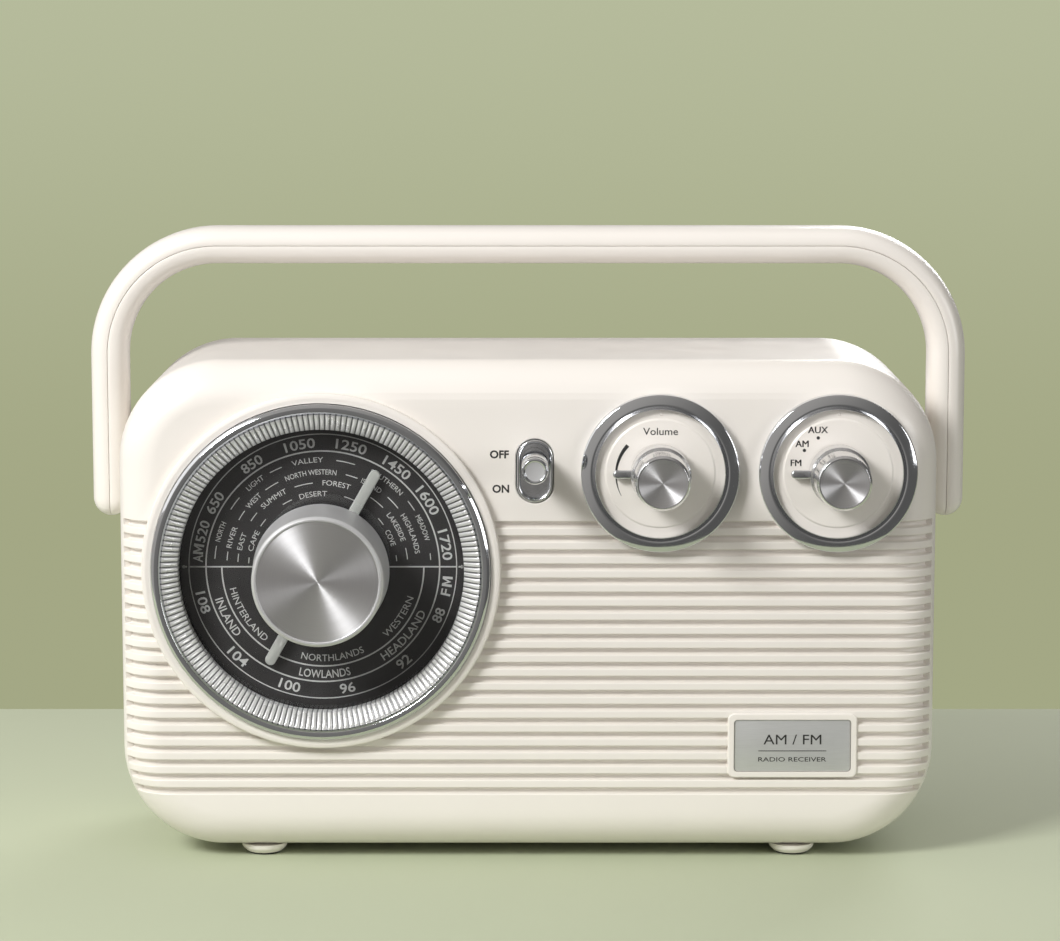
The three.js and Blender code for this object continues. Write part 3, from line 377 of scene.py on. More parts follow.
def cream_plastic():
    paint = Shader("cream_plastic", (0.84, 0.797, 0.745), 0.34)
    paint.set("Specular IOR Level", 0.5)
    paint.set("Coat Weight", 0.2)
    paint.set("Coat Roughness", 0.15)
    return finished(paint, (90, 4, 0.29, 0.38), (14, 2, 0.985, 1.015),
                    [(1500, 2, 0.05, 0.00004), (22, 1, 0.03, 0.0005)])


def plain_plastic(name, colour, roughness, grain=3000):
    return finished(Shader(name, colour, roughness), (160, 4, roughness * 0.85, min(1, roughness * 1.15)),
                    (60, 3, 0.9, 1.1), [(grain, 2, 0.35, 0.00004)])


def satin_metal(name, colour, roughness, streak=(1, 1, 1), scale=900):
    return finished(Shader(name, colour, roughness, 1), (scale, 4, roughness * 0.8, roughness * 1.25),
                    (scale * 0.6, 3, 0.93, 1.04), [(scale * 2, 3, 0.12, 0.00003)], streak)


def silvered(name, colour, roughness, metallic):
    """Vacuum-plated plastic: smooth, bright and slightly diffuse."""
    return finished(Shader(name, colour, roughness, metallic),
                    (150, 3, roughness * 0.9, roughness * 1.15), (50, 2, 0.97, 1.02))


def ink(name, colour, roughness=0.55):
    return finished(Shader(name, colour, roughness), (900, 3, roughness * 0.9, roughness * 1.1),
                    (700, 3, 0.94, 1.05))


def spun_metal(name, centre, colour, roughness):
    """Aluminium with turning marks round a centre on the Y axis, and highlights that fan out from it."""
    metal = Shader(name, colour, roughness, 1)
    metal.set("Anisotropic", 0.9)
    metal.set("Anisotropic Rotation", 0.25)
    tangent = metal.nodes.new("ShaderNodeTangent")
    tangent.direction_type = "RADIAL"
    tangent.axis = "Y"
    metal.link(tangent.outputs["Tangent"], metal.shader.inputs["Tangent"])
    from_centre = metal.vector("SUBTRACT", metal.coordinates.outputs["Object"],
                               (centre.x * MM, 0, centre.z * MM))
    flat = metal.vector("MULTIPLY", from_centre.outputs["Vector"], (1, 0, 1))
    length = metal.vector("LENGTH", flat.outputs["Vector"])
    rings = metal.nodes.new("ShaderNodeTexNoise")
    rings.noise_dimensions = "1D"
    rings.inputs["Scale"].default_value = 2600
    rings.inputs["Detail"].default_value = 3
    metal.link(length.outputs["Value"], rings.inputs["W"])
    metal.vary_roughness(rings.outputs["Fac"], roughness * 0.92, roughness * 1.1)
    metal.vary_colour(rings.outputs["Fac"], 0.985, 1.01)
    return metal.material


def window_clear():
    """Clear acrylic. Lamps shine through it on to the dial."""
    glass = Shader("dial_window_clear", (1, 1, 1), 0.0)
    glass.set("Transmission Weight", 1.0)
    glass.set("IOR", 1.4)
    glass.vary_roughness(glass.noise(40, 3), 0.0, 0.02)
    path = glass.nodes.new("ShaderNodeLightPath")
    open_way = glass.nodes.new("ShaderNodeBsdfTransparent")
    open_way.inputs["Color"].default_value = (0.93, 0.94, 0.94, 1)
    mix = glass.nodes.new("ShaderNodeMixShader")
    glass.link(path.outputs["Is Shadow Ray"], mix.inputs[0])
    glass.link(glass.shader.outputs["BSDF"], mix.inputs[1])
    glass.link(open_way.outputs["BSDF"], mix.inputs[2])
    glass.link(mix.outputs["Shader"], glass.nodes["Material Output"].inputs["Surface"])
    return glass.material


def dial_face():
    paint = Shader("dial_black", (0.019, 0.018, 0.018), 0.5)
    paint.set("Specular IOR Level", 0.2)
    return finished(paint, (120, 4, 0.46, 0.56), (30, 2, 0.93, 1.07))


CREAM = cream_plastic()
CHROME = finished(Shader("chrome", (0.66, 0.675, 0.70), 0.07, 1), (220, 4, 0.045, 0.1),
                  bumps=[(60, 2, 0.02, 0.0004)])
BLACK = plain_plastic("black_plastic", (0.028, 0.028, 0.029), 0.47)
RUBBER = plain_plastic("foot_rubber", (0.025, 0.025, 0.025), 0.8, 1500)
POINTER = plain_plastic("pointer_white", (0.28, 0.285, 0.265), 0.5, 1800)
POLISHED = satin_metal("polished_aluminium", (0.76, 0.765, 0.78), 0.16)
KNURLED = silvered("knurled_silver", (0.78, 0.78, 0.78), 0.28, 0.5)
# a dark silver that paints the shade down in the knurl's valleys
KNURL_PAINTED_SHADE = silvered("knurl_valley_painted_shade", (0.16, 0.16, 0.165), 0.4, 0.5)
# pale satin foil with fine marks across it
BRUSHED = finished(Shader("brushed_plate", (0.62, 0.625, 0.62), 0.42, 0.55), (240, 4, 0.38, 0.48),
                   (240, 4, 0.95, 1.03), stretch=(1, 1, 30))
STEEL = satin_metal("zinc_steel", (0.58, 0.58, 0.57), 0.36)
WINDOW = window_clear()
DIAL_BLACK = dial_face()
DIAL_PRINT = ink("dial_print", (0.40, 0.40, 0.385))
DARK_PRINT = ink("dark_print", (0.022, 0.021, 0.02))

# ---------------- cabinet


def half_width_at(rise, inset):
    """Half width of the front outline at a height above the middle, pulled in by inset."""
    beyond = max(0.0, abs(rise) - (HALF_HEIGHT - CORNER))
    radius = CORNER - inset
    return HALF_WIDTH - CORNER + math.sqrt(max(0.0, radius * radius - beyond * beyond))


# one groove from its middle outward: height above the groove's middle, depth
GROOVE_SIDE = [(0, 2.0), (0.35, 1.95), (0.62, 1.75), (0.8, 1.35), (0.86, 0.8), (0.92, 0.4), (1.02, 0.14),
               (1.14, 0.03), (1.26, 0)]
GROOVE_SECTION = [(-t, d) for t, d in reversed(GROOVE_SIDE[1:])] + GROOVE_SIDE
FILLET_ANGLES = [0, 7.5, 15, 21, 26, 28.8, 30.2, 33, 38, 44, 50, 56, 62, 68, 74, 80, 85, 90]
CORNER_STEPS = 18


def section_heights(with_grooves):
    """Heights above the cabinet's middle of all level sections, each with its groove depth."""
    rows = {}
    straight = HALF_HEIGHT - CORNER
    for k in range(CORNER_STEPS + 1):
        rise = straight + CORNER * math.sin(math.pi / 2 * k / CORNER_STEPS)
        rows[round(rise, 4)] = 0.0
        rows[round(-rise, 4)] = 0.0
    if with_grooves:
        top = GROOVE_TOP - MIDDLE_Z
        reach = GROOVE_SIDE[-1][0]
        lowest = top - (GROOVES - 1) * GROOVE_PITCH - reach
        rows = {rise: d for rise, d in rows.items() if not lowest - 0.3 < rise < top + reach + 0.3}
        for i in range(GROOVES):
            for offset, depth in GROOVE_SECTION:
                rows[round(top - i * GROOVE_PITCH + offset, 4)] = depth
    return sorted(rows.items())


def level_section(rise, inset, groove_depth):
    """One level section from the parting line round the face and back: points (x, reach)."""
    fillet = FILLET - inset
    room = max(0.0, HALF_HEIGHT - inset - abs(rise))
    turn_end = math.acos(1 - min(fillet, room) / fillet)
    left = []
    for degrees in FILLET_ANGLES:
        angle = turn_end * degrees / 90
        pull = fillet * (1 - math.cos(angle))
        depth = groove_depth if degrees >= GROOVE_END_ANGLE else 0
        x = half_width_at(rise, inset + pull) - depth * math.cos(angle)
        left.append((-x, inset + fillet * (1 - math.sin(angle)) + depth * math.sin(angle)))
    right = [(-x, reach) for x, reach in reversed(left)]
    return left + right


def half_shell(face_y, toward, parting_y, with_grooves):
    """Half of the cabinet as a closed hollow shell, from its face to the parting line."""
    rows = section_heights(with_grooves)
    far = abs(parting_y - face_y)
    lip = 0.45
    outer, inner = [], []
    for rise, depth in rows:
        rim_rise = rise * (HALF_HEIGHT - SEAM) / HALF_HEIGHT
        rim = half_width_at(rim_rise, SEAM)
        body = level_section(rise, 0, depth)
        edge = half_width_at(rise, 0)
        ring = [(-rim, far, rim_rise), (-edge, far - lip, rise)]
        ring += [(x, reach, rise) for x, reach in body]
        ring += [(edge, far - lip, rise), (rim, far, rim_rise)]
        outer.append(ring)
        inner_rise = rise * (HALF_HEIGHT - WALL) / HALF_HEIGHT
        inside = level_section(inner_rise, WALL, 0)
        edge = half_width_at(inner_rise, WALL)
        inner.append([(-edge, far, inner_rise)] + [(x, reach, inner_rise) for x, reach in inside]
                     + [(edge, far, inner_rise)])
    count, inner_count = len(outer[0]), len(inner[0])
    points = [p for ring in outer + inner for p in ring]
    start = len(rows) * count
    faces = []
    for i in range(len(rows) - 1):
        a, b = i * count, (i + 1) * count
        faces += [(a + j, a + j + 1, b + j + 1, b + j) for j in range(count - 1)]
        c, d = start + i * inner_count, start + (i + 1) * inner_count
        faces += [(c + j, c + j + 1, d + j + 1, d + j) for j in range(inner_count - 1)]
        faces += [(a, b, d, c), (a + count - 1, b + count - 1, d + inner_count - 1, c + inner_count - 1)]
    for i in (0, len(rows) - 1):
        a, c = i * count, start + i * inner_count
        faces.append(tuple(range(a + 1, a + count - 1)))
        faces.append((a, a + 1, a + count - 2, a + count - 1))
        faces.append(tuple(range(c, c + inner_count)))
        faces.append((a, a + count - 1, c + inner_count - 1, c))
    placed = [(x, face_y + toward * reach, MIDDLE_Z + z) for x, reach, z in points]
    return mesh_from(placed, faces)


def disc(radius, y0, y1, x, z, steps=128):
    return lathe([(0, y0), (radius, y0), (radius, y1), (0, y1)], x, z, steps)


def hole_for(node, clearance):
    low, high = corners(node)
    place = (low + high) / 2
    return (high.x - low.x) / 2 + clearance, place.x, place.z


name_low, name_high = corners("name_plate")
name_middle = (name_low + name_high) / 2
NAME_WIDTH, NAME_HEIGHT = name_high.x - name_low.x, name_high.z - name_low.z
NAME_BORDER = 1.9


def name_frame_block(margin, y0, y1, corner, edge):
    x, z = NAME_WIDTH / 2 + margin, NAME_HEIGHT / 2 + margin
    return soft_block(name_middle.x - x, name_middle.x + x, FRONT + y0, FRONT + y1,
                      name_middle.z - z, name_middle.z + z, corner, edge)


DIAL_LAND = 0.35                    # the grooves stop this far outside each dial


def front_cabinet():
    shell = half_shell(FRONT, 1, PARTING - SEAM / 2, True)
    guards = []
    for node in ("dial_surround", "volume_bezel", "source_bezel"):
        radius, x, z = hole_for(node, DIAL_LAND)
        guards.append(disc(radius, 0.04, 2.1, x, z))
    guards.append(name_frame_block(NAME_BORDER, -NAME_FRAME_RISE, 2.1, 2.0, 0.45))
    whole = carve(shell, guards, "UNION")
    tools = []
    dial_radius, dial_x, dial_z = hole_for("dial_surround", -1.3)
    tools.append(disc(dial_radius, -1, 2 * WALL, dial_x, dial_z))
    for node in ("volume_bezel", "source_bezel"):
        _, x, z = hole_for(node, 0)
        tools.append(disc(10, -1, 2 * WALL, x, z, 64))
    low, high, x, z = located("power_bezel")
    width, height = high.x - low.x + 0.5, high.z - low.z + 0.5
    switch_hole = stadium_outline(width, height, width / 2 - 0.01, 12)
    flare = [(-0.55, -1), (-0.5, -0.02), (-0.3, 0.1), (-0.1, 0.3), (0, 0.6), (0, 2 * WALL)]
    tools.append(slab(switch_hole, flare, x, z))
    tools.append(name_frame_block(0.12, -2, 1.3, 1.1, 0.05))
    return carve(whole, tools)


SCREWS = [f"case_screw_{k}" for k in range(1, 5)]
door_low, door_high = corners("battery_door")
DOOR_HALF = 31.1                    # half width of the door without its hinge pins
DOOR_GAP = 0.4
WELL_RADIUS, WELL_DEPTH = 3.4, 9.2  # the screws' wells
WELL_FLOOR = BACK - WELL_DEPTH
SCREW_HOLE = 1.7                    # radius of the hole in a well's floor
USB_HALF_WIDTH, USB_HALF_HEIGHT = 5.1, 2.2
AUX_HOLE = 3.3


def rear_cabinet():
    shell = half_shell(BACK, -1, PARTING + SEAM / 2, False)
    tools = []
    for node in SCREWS:
        place = middle(node)
        well = [(0, WELL_FLOOR), (WELL_RADIUS, WELL_FLOOR), (WELL_RADIUS, BACK - 0.5),
                (WELL_RADIUS + 0.5, BACK), (WELL_RADIUS + 0.5, BACK + 1), (0, BACK + 1)]
        tools.append(turned(well, place.x, place.z, 40))
    tools.append(soft_block(-DOOR_HALF - DOOR_GAP, DOOR_HALF + DOOR_GAP, BACK - 2 * WALL, BACK + 1,
                            door_low.z - DOOR_GAP, door_high.z + DOOR_GAP, 0.8, 0.05))
    usb, aux = middle("usb_power_socket"), middle("aux_socket")
    tools.append(soft_block(usb.x - USB_HALF_WIDTH, usb.x + USB_HALF_WIDTH, BACK - 2 * WALL, BACK + 1,
                            usb.z - USB_HALF_HEIGHT, usb.z + USB_HALF_HEIGHT, 2.1, 0.05))
    aux_tool = [(0, BACK - 2 * WALL), (AUX_HOLE, BACK - 2 * WALL), (AUX_HOLE, BACK + 1), (0, BACK + 1)]
    tools.append(turned(aux_tool, aux.x, aux.z, 48))
    # a shallow dish round both sockets
    tools.append(soft_block(usb.x - 10, aux.x + 9, BACK - 0.5, BACK + 3, usb.z - 8, usb.z + 8, 5, 0.3))
    whole = carve(shell, tools)
    linings = []
    for node in SCREWS:
        place = middle(node)
        lining = [(WELL_RADIUS, WELL_FLOOR), (WELL_RADIUS, BACK - 2), (5, BACK - 2),
                  (5, WELL_FLOOR - 1.2), (SCREW_HOLE, WELL_FLOOR - 1.2), (SCREW_HOLE, WELL_FLOOR)]
        linings.append(turned(lining, place.x, place.z, 40))
    return joined(whole, *linings)


piece("cabinet_front", front_cabinet(), CREAM, "cabinet", ["front_cabinet"], 38, True)
piece("cabinet_rear", rear_cabinet(), CREAM, "cabinet", ["rear_cabinet"], 38, True)

# ---------------- main dial

dial_x, dial_z = DIAL.x, DIAL.z


def dial_part(name, profile, material, replaces, steps=160, body="cabinet", angle=40):
    mesh = lathe(profile, dial_x, dial_z, steps)
    return piece(name, mesh, material, body, replaces, angle)


surround = hole_for("dial_surround", 0)[0]
dial_part("surround_ring", rounded([
    (surround, 0.1), (surround, -2.8, 0.55), (surround - 1.2, -3.1, 0.6),
    (DIAL_RADIUS + 0.15, -3.0, 0.3),
    (DIAL_RADIUS + 0.15, 4), (surround - 1.6, 4), (surround - 1.6, 0.1),
]), CREAM, ["dial_surround"])

dial_part("bezel_ring", rounded([
    (DIAL_RADIUS, 2), (DIAL_RADIUS, -4.3, 0.5), (DIAL_RADIUS - 0.9, -4.85, 0.5),
    (KNURL_RADIUS + 0.8, -4.8, 0.4), (KNURL_RADIUS + 0.1, -4.1, 0.2), (KNURL_RADIUS + 0.1, 2),
], steps=6), CHROME, ["dial_bezel"])

SHAFT_HOLE = 3.3
CONE_START = -4.4                   # the cone's outer edge, in front of the face
CONE_BACK = 2.4
RIBS = 180
KNURL_DEPTH = 3.1                   # the cone runs this far in, then a short wall drops to the window
# one rib: share of the pitch, height
RIB_SHAPE = [(0, 0), (0.13, 0.04), (0.2, 0.28), (0.32, 0.34), (0.5, 0.36), (0.68, 0.34), (0.8, 0.28),
             (0.87, 0.04)]
PAINTED_SHADE_STEPS = (0, len(RIB_SHAPE) - 1)       # strips of each rib that lie in the valley, given a dark silver as painted shade


def knurled_ring():
    """A cone of fine ribs that run towards the middle, with open notches at their outer ends."""
    slope = Vector((KNURL_RADIUS - VIEW_RADIUS, KNURL_DEPTH)).normalized()
    # share along the cone from its outer edge, how far the ribs stand up there
    rows = [(0, 0), (0.03, 0.1), (0.09, 0.8), (0.14, 1), (0.5, 1), (0.9, 1), (0.97, 0.55), (1, 0.1)]
    rings = []
    for share, stand in rows:
        radius = KNURL_RADIUS + (VIEW_RADIUS - KNURL_RADIUS) * share
        along = CONE_START + KNURL_DEPTH * share
        ring = []
        for rib in range(RIBS):
            for step, height in RIB_SHAPE:
                a = 2 * math.pi * (rib + step) / RIBS
                up = height * stand
                r = radius - up * slope.y
                y = along - up * slope.x
                ring.append((dial_x + r * math.cos(a), FRONT + y, dial_z + r * math.sin(a)))
        rings.append(ring)
    turns = [2 * math.pi * (rib + step) / RIBS for rib in range(RIBS) for step, _ in RIB_SHAPE]
    for radius in (VIEW_RADIUS, KNURL_RADIUS):
        rings.append([(dial_x + radius * math.cos(a), FRONT + CONE_BACK, dial_z + radius * math.sin(a))
                      for a in turns])
    points, faces = loft(rings, caps=False, loop=True)
    mesh = mesh_from(points, faces, merge=False)
    # the valley strips take the dark silver: painted shade between the ribs
    for polygon in mesh.polygons:
        if polygon.index % len(RIB_SHAPE) in PAINTED_SHADE_STEPS:
            polygon.material_index = 1
    return mesh


piece("knurled_ring", knurled_ring(), [KNURLED, KNURL_PAINTED_SHADE], "cabinet",
      ["dial_knurled_ring"], 50)


def dial_disc(name, front, thickness, material, node):
    """A flat disc behind the knurled ring, with a hole for the tuning shaft."""
    edge = KNURL_RADIUS - 0.1
    back = front + thickness
    profile = [(SHAFT_HOLE, front), (edge, front), (edge, back), (SHAFT_HOLE, back)]
    dial_part(name, rounded(profile), material, [node])


dial_disc("window", WINDOW_FRONT, 1.4, WINDOW, "dial_window")
dial_disc("dial_face", PLATE_FRONT, 1.2, DIAL_BLACK, "dial_plate")

# ---------------- printing

PRINT_RISE = 0.04                   # thickness of the printed ink


def glyphs(text, height, bold=0.0, width=None):
    """Text as a thin closed mesh in millimetres, centred on the origin: x along, y up, z thick."""
    curve = bpy.data.curves.new("glyphs", "FONT")
    curve.body = text
    curve.align_x = "CENTER"
    curve.size = 1
    curve.offset = bold
    curve.extrude = 0.5
    curve.resolution_u = 3
    holder = new_object("glyphs", curve)
    depsgraph = bpy.context.evaluated_depsgraph_get()
    mesh = bpy.data.meshes.new_from_object(holder.evaluated_get(depsgraph))
    bpy.data.objects.remove(holder)
    xs = [v.co.x for v in mesh.vertices]
    cap = 0.729                     # cap height of the built-in font at size 1
    scale = height / cap
    stretch = scale if width is None else width / (max(xs) - min(xs))
    centre = (max(xs) + min(xs)) / 2
    for v in mesh.vertices:
        v.co = ((v.co.x - centre) * stretch, v.co.y * scale - height / 2, v.co.z * PRINT_RISE)
    return mesh


def bold_m(height, width):
    """A heavy capital M, drawn as one outline, in the same form as glyphs."""
    half, top, stem = width / 2, height / 2, 0.24 * width
    notch, point = -0.1 * top, -0.8 * top
    shoulder = point + (top - notch) * (half - stem) / (half - 1.1 * stem)
    right = [(0, point), (half - stem, shoulder), (half - stem, -top), (half, -top), (half, top),
             (half - 1.1 * stem, top), (0, notch)]
    outline = right + [(-x, y) for x, y in reversed(right[1:-1])]
    rings = [[(x, y, z) for x, y in outline] for z in (-PRINT_RISE / 2, PRINT_RISE / 2)]
    return unscaled(skin(rings))


def heavy(text, width):
    """A number or letter of the outer scales."""
    if text == "M":
        return bold_m(NUMBER_HEIGHT, width)
    return glyphs(text, NUMBER_HEIGHT, 0.014, width)


def bent(mesh, radius, clockwise, tops_out=True):
    """Wraps glyphs round the dial's middle, at an angle clockwise from the top."""
    way = 1 if tops_out else -1
    for v in mesh.vertices:
        a = math.radians(clockwise) + way * v.co.x / radius
        r = radius + way * v.co.y
        v.co = (r * math.sin(a), v.co.z, r * math.cos(a))
    return mesh


def unscaled(mesh):
    """Back to millimetres, for printing that is still to be placed."""
    mesh.transform(Matrix.Scale(1 / MM, 4))
    return mesh


def band(stations, loop=False):
    """A thin printed band through stations: degrees clockwise from the top, inner and outer radius."""
    half = PRINT_RISE / 2
    rings = []
    for degrees, inner, outer in stations:
        a = math.radians(degrees)
        section = [(inner, -half), (outer, -half), (outer, half), (inner, half)]
        rings.append([(r * math.sin(a), y, r * math.cos(a)) for r, y in section])
    return unscaled(skin(rings, loop=loop))


def arc_band(radius, width, start, end, step=3):
    """A thin printed arc, clockwise from the top, in degrees."""
    count = max(1, round(abs(end - start) / step))
    full = abs(end - start) >= 360
    turns = [start + (end - start) * k / count for k in range(count if full else count + 1)]
    return band([(turn, radius - width / 2, radius + width / 2) for turn in turns], full)


def stroke(x0, z0, x1, z1, width):
    """A thin printed line between two points."""
    along = Vector((x1 - x0, z1 - z0)).normalized() * width / 2
    side = Vector((-along.y, along.x))
    half = PRINT_RISE / 2
    ends = [(x0 + side.x, z0 + side.y), (x1 + side.x, z1 + side.y), (x1 - side.x, z1 - side.y),
            (x0 - side.x, z0 - side.y)]
    points = [(x, y, z) for y in (-half, half) for x, z in ends]
    faces = [(0, 1, 2, 3), (7, 6, 5, 4), (0, 4, 5, 1), (1, 5, 6, 2), (2, 6, 7, 3), (3, 7, 4, 0)]
    return unscaled(mesh_from(points, faces))


def printed(name, meshes, x, y, z, material):
    """Lays printing made round the origin on a surface at height y, facing the front."""
    whole = joined(*meshes)
    whole.transform(Matrix.Diagonal((MM, MM, MM, 1)) @ Matrix.Translation((x, y - PRINT_RISE / 2, z)))
    work = bmesh.new()
    work.from_mesh(whole)
    bmesh.ops.remove_doubles(work, verts=work.verts, dist=1e-8)
    bmesh.ops.recalc_face_normals(work, faces=work.faces)
    work.to_mesh(whole)
    work.free()
    return piece(name, whole, material, "cabinet")


SCALE_RING, MIDDLE_RING, INNER_RING = 39.35, 34.35, 29.7
NUMBER_RING, NUMBER_HEIGHT = 36.85, 2.95
SMALL_WORD, TALL_WORD, WIDE_WORD = 1.6, 2.5, 2.1
DASH = 0.26

# words bent round the dial: text, degrees clockwise from the top, width
UPPER_NUMBERS = [("A", -86.1, 2.2), ("M", -81.8, 3), ("520", -73.4, 6.5), ("650", -58.9, 6.8),
                 ("850", -34, 6.8), ("1050", -10.2, 9.1), ("1250", 13.6, 9.2), ("1450", 36.8, 9.0),
                 ("1600", 57.6, 9.2), ("1720", 79.8, 9.1)]
LOWER_NUMBERS = [("F", 101.9, 1.9), ("M", 96.9, 3), ("88", 113.1, 4.3), ("92", 140.2, 4.5),
                 ("96", 169.1, 4.5), ("100", 195.8, 6.3), ("104", 223.1, 6.6),
                 ("108", 253.2, 6.5)]
TALL_WORDS = [("HEADLAND", 130.9, 18.5), ("LOWLANDS", 179.4, 15), ("INLAND", 241.9, 12.3)]
WIDE_WORDS = [("WESTERN", 124, 14), ("NORTHLANDS", 174.2, 18.6), ("HINTERLAND", 237.1, 18.4)]
# rows of small words in the upper half, from the outside in: ring radius, words, dashes (angle, span)
WORD_ROWS = [
    (31.8, [("NORTH", -70.8, 6), ("LIGHT", -38.3, 6), ("VALLEY", -7.7, 9.3), ("SOUTHERN", 36.9, 11.3),
            ("MEADOW", 68.6, 8)],
     [(-82.2, 7), (-53.7, 7.8), (-25.2, 7), (12.7, 10), (55.2, 6), (84.6, 3.5)]),
    (28.2, [("RIVER", -71.7, 6.6), ("WEST", -45.8, 5.5), ("NORTH WESTERN", -6.9, 15.3), ("ISLAND", 31, 6.6),
            ("HIGHLANDS", 69.2, 12.5)],
     [(-83.5, 5.3), (-57.1, 6.6), (-31.6, 9), (17.9, 7.3), (47.4, 9)]),
    (25, [("EAST", -72.4, 5.2), ("SUMMIT", -35.1, 8.7), ("FOREST", 9.8, 8.3), ("LAKESIDE", 61.4, 9.2)],
     [(-83.9, 5.6), (-53.6, 7), (-12.6, 12.6), (39.9, 11), (81, 7.8)]),
    (21.8, [("CAPE", -69.2, 6.4), ("DESERT", -7.1, 8.2), ("COVE", 66.7, 4.9)],
     [(-85, 4.6), (-53, 6.8), (-28.1, 7.8), (21.4, 8.3), (51.9, 6.4), (83.3, 4.5)]),
]


def dial_printing():
    marks = [
        arc_band(SCALE_RING, 0.3, 0, 360),
        arc_band(MIDDLE_RING, 0.42, 0, 360),
        arc_band(INNER_RING, 0.42, 90, 270),
        stroke(-SCALE_RING, 0, SCALE_RING, 0, 0.42),
    ]
    for side in (-1, 1):
        tip = SCALE_RING + 0.55
        marks.append(stroke(side * tip, 0, side * (tip + 1.5), 0, 0.5))
        marks.append(stroke(side * (tip + 1), -0.45, side * (tip + 1), 0.45, 0.5))
    for text, angle, width in UPPER_NUMBERS:
        marks.append(bent(heavy(text, width), NUMBER_RING, angle))
    for text, angle, width in LOWER_NUMBERS:
        marks.append(bent(heavy(text, width), NUMBER_RING, angle, False))
    for radius, words, dashes in WORD_ROWS:
        for text, angle, width in words:
            marks.append(bent(glyphs(text, SMALL_WORD, 0, width), radius, angle))
        for angle, span in dashes:
            marks.append(arc_band(radius, DASH, angle - span / 2, angle + span / 2))
    between = (MIDDLE_RING + INNER_RING) / 2
    for text, angle, width in TALL_WORDS:
        marks.append(bent(glyphs(text, TALL_WORD, 0.008, width), between, angle, False))
    for text, angle, width in WIDE_WORDS:
        marks.append(bent(glyphs(text, WIDE_WORD, 0, width), INNER_RING - 2.5, angle, False))
    return marks


printed("dial_printing", dial_printing(), dial_x, FRONT + PLATE_FRONT, dial_z, DIAL_PRINT)

# ---------------- tuning knob and pointer

KNOB_FACE = corners("tuning_knob")[0].y - FRONT
KNOB_RADIUS = (corners("tuning_knob")[1].x - corners("tuning_knob")[0].x) / 2


def face_material(mesh, limit_y, radius, centre, index=1):
    """Gives the flat front of a knob its own material."""
    for polygon in mesh.polygons:
        place = polygon.center / MM
        distance = math.hypot(place.x - centre.x, place.z - centre.z)
        if polygon.normal.y < -0.9 and place.y < limit_y and distance < radius:
            polygon.material_index = index


def tuning_knob():
    face = KNOB_FACE
    profile = rounded([
        (0, face + 0.35), (17.55, face + 0.35), (17.7, face + 0.02, 0.1), (18.25, face, 0.25),
        (18.95, face + 0.75, 0.4), (KNOB_RADIUS, -1.1, 0.3), (KNOB_RADIUS - 0.5, -0.5, 0.2),
        (SHAFT_HOLE, -0.5), (SHAFT_HOLE, -12.4), (0, -12.4),
    ], closed=False)
    return lathe(profile, dial_x, dial_z, 192)


SPUN_LARGE = spun_metal("spun_knob_face", DIAL, (0.82, 0.815, 0.83), 0.36)
SATIN_SIDE = silvered("satin_knob_side", (0.62, 0.62, 0.625), 0.4, 0.5)
knob_mesh = tuning_knob()
face_material(knob_mesh, FRONT + KNOB_FACE + 1, 17.6, DIAL)
piece("tuning_knob_turned", knob_mesh, [SATIN_SIDE, SPUN_LARGE], "tuning_control",
      ["tuning_knob"], 25)


POINTER_ANGLE = 29.5                # clockwise from upright, as the radio stands


def tuning_pointer():
    low, high = corners("tuning_pointer")
    y0, y1 = low.y - FRONT, high.y - FRONT
    bar = stadium_outline(3.2, 66, 1.58, 8)
    levels = [(0.35, y0), (0.1, y0 + 0.1), (0, y0 + 0.35), (0, y1)]
    needle = slab(bar, levels, 0, 0)
    ring = [(SHAFT_HOLE, y0 + 0.2), (6, y0 + 0.2), (6, y1 - 0.1), (SHAFT_HOLE, y1 - 0.1)]
    hub = lathe(ring, 0, 0, 48)
    mesh = carve(needle, [hub], "UNION")
    mesh = carve(mesh, [disc(SHAFT_HOLE, -5, 12, 0, 0, 48)])
    turn = Matrix.Rotation(math.radians(POINTER_ANGLE), 4, "Y")
    mesh.transform(Matrix.Translation((dial_x * MM, 0, dial_z * MM)) @ turn)
    return mesh


piece("dial_pointer", tuning_pointer(), POINTER, "tuning_control", ["tuning_pointer"])

# ---------------- volume and source dials

SMALL_FACE = corners("volume_knob")[0].y - FRONT
SMALL_OUTER = hole_for("volume_bezel", 0)[0]


def small_knob(centre):
    face = SMALL_FACE
    profile = rounded([
        (0, face + 0.12), (6.9, face + 0.12), (7.25, face, 0.15), (7.9, face + 0.8, 0.25),
        (8.1, face + 11.9, 0.2), (8.7, face + 12.7, 0.25), (8.7, -3.0, 0.2), (8.4, -2.7), (2.3, -2.7),
        (2.3, -14), (0, -14),
    ], closed=False)
    return lathe(profile, centre.x, centre.z, 128)


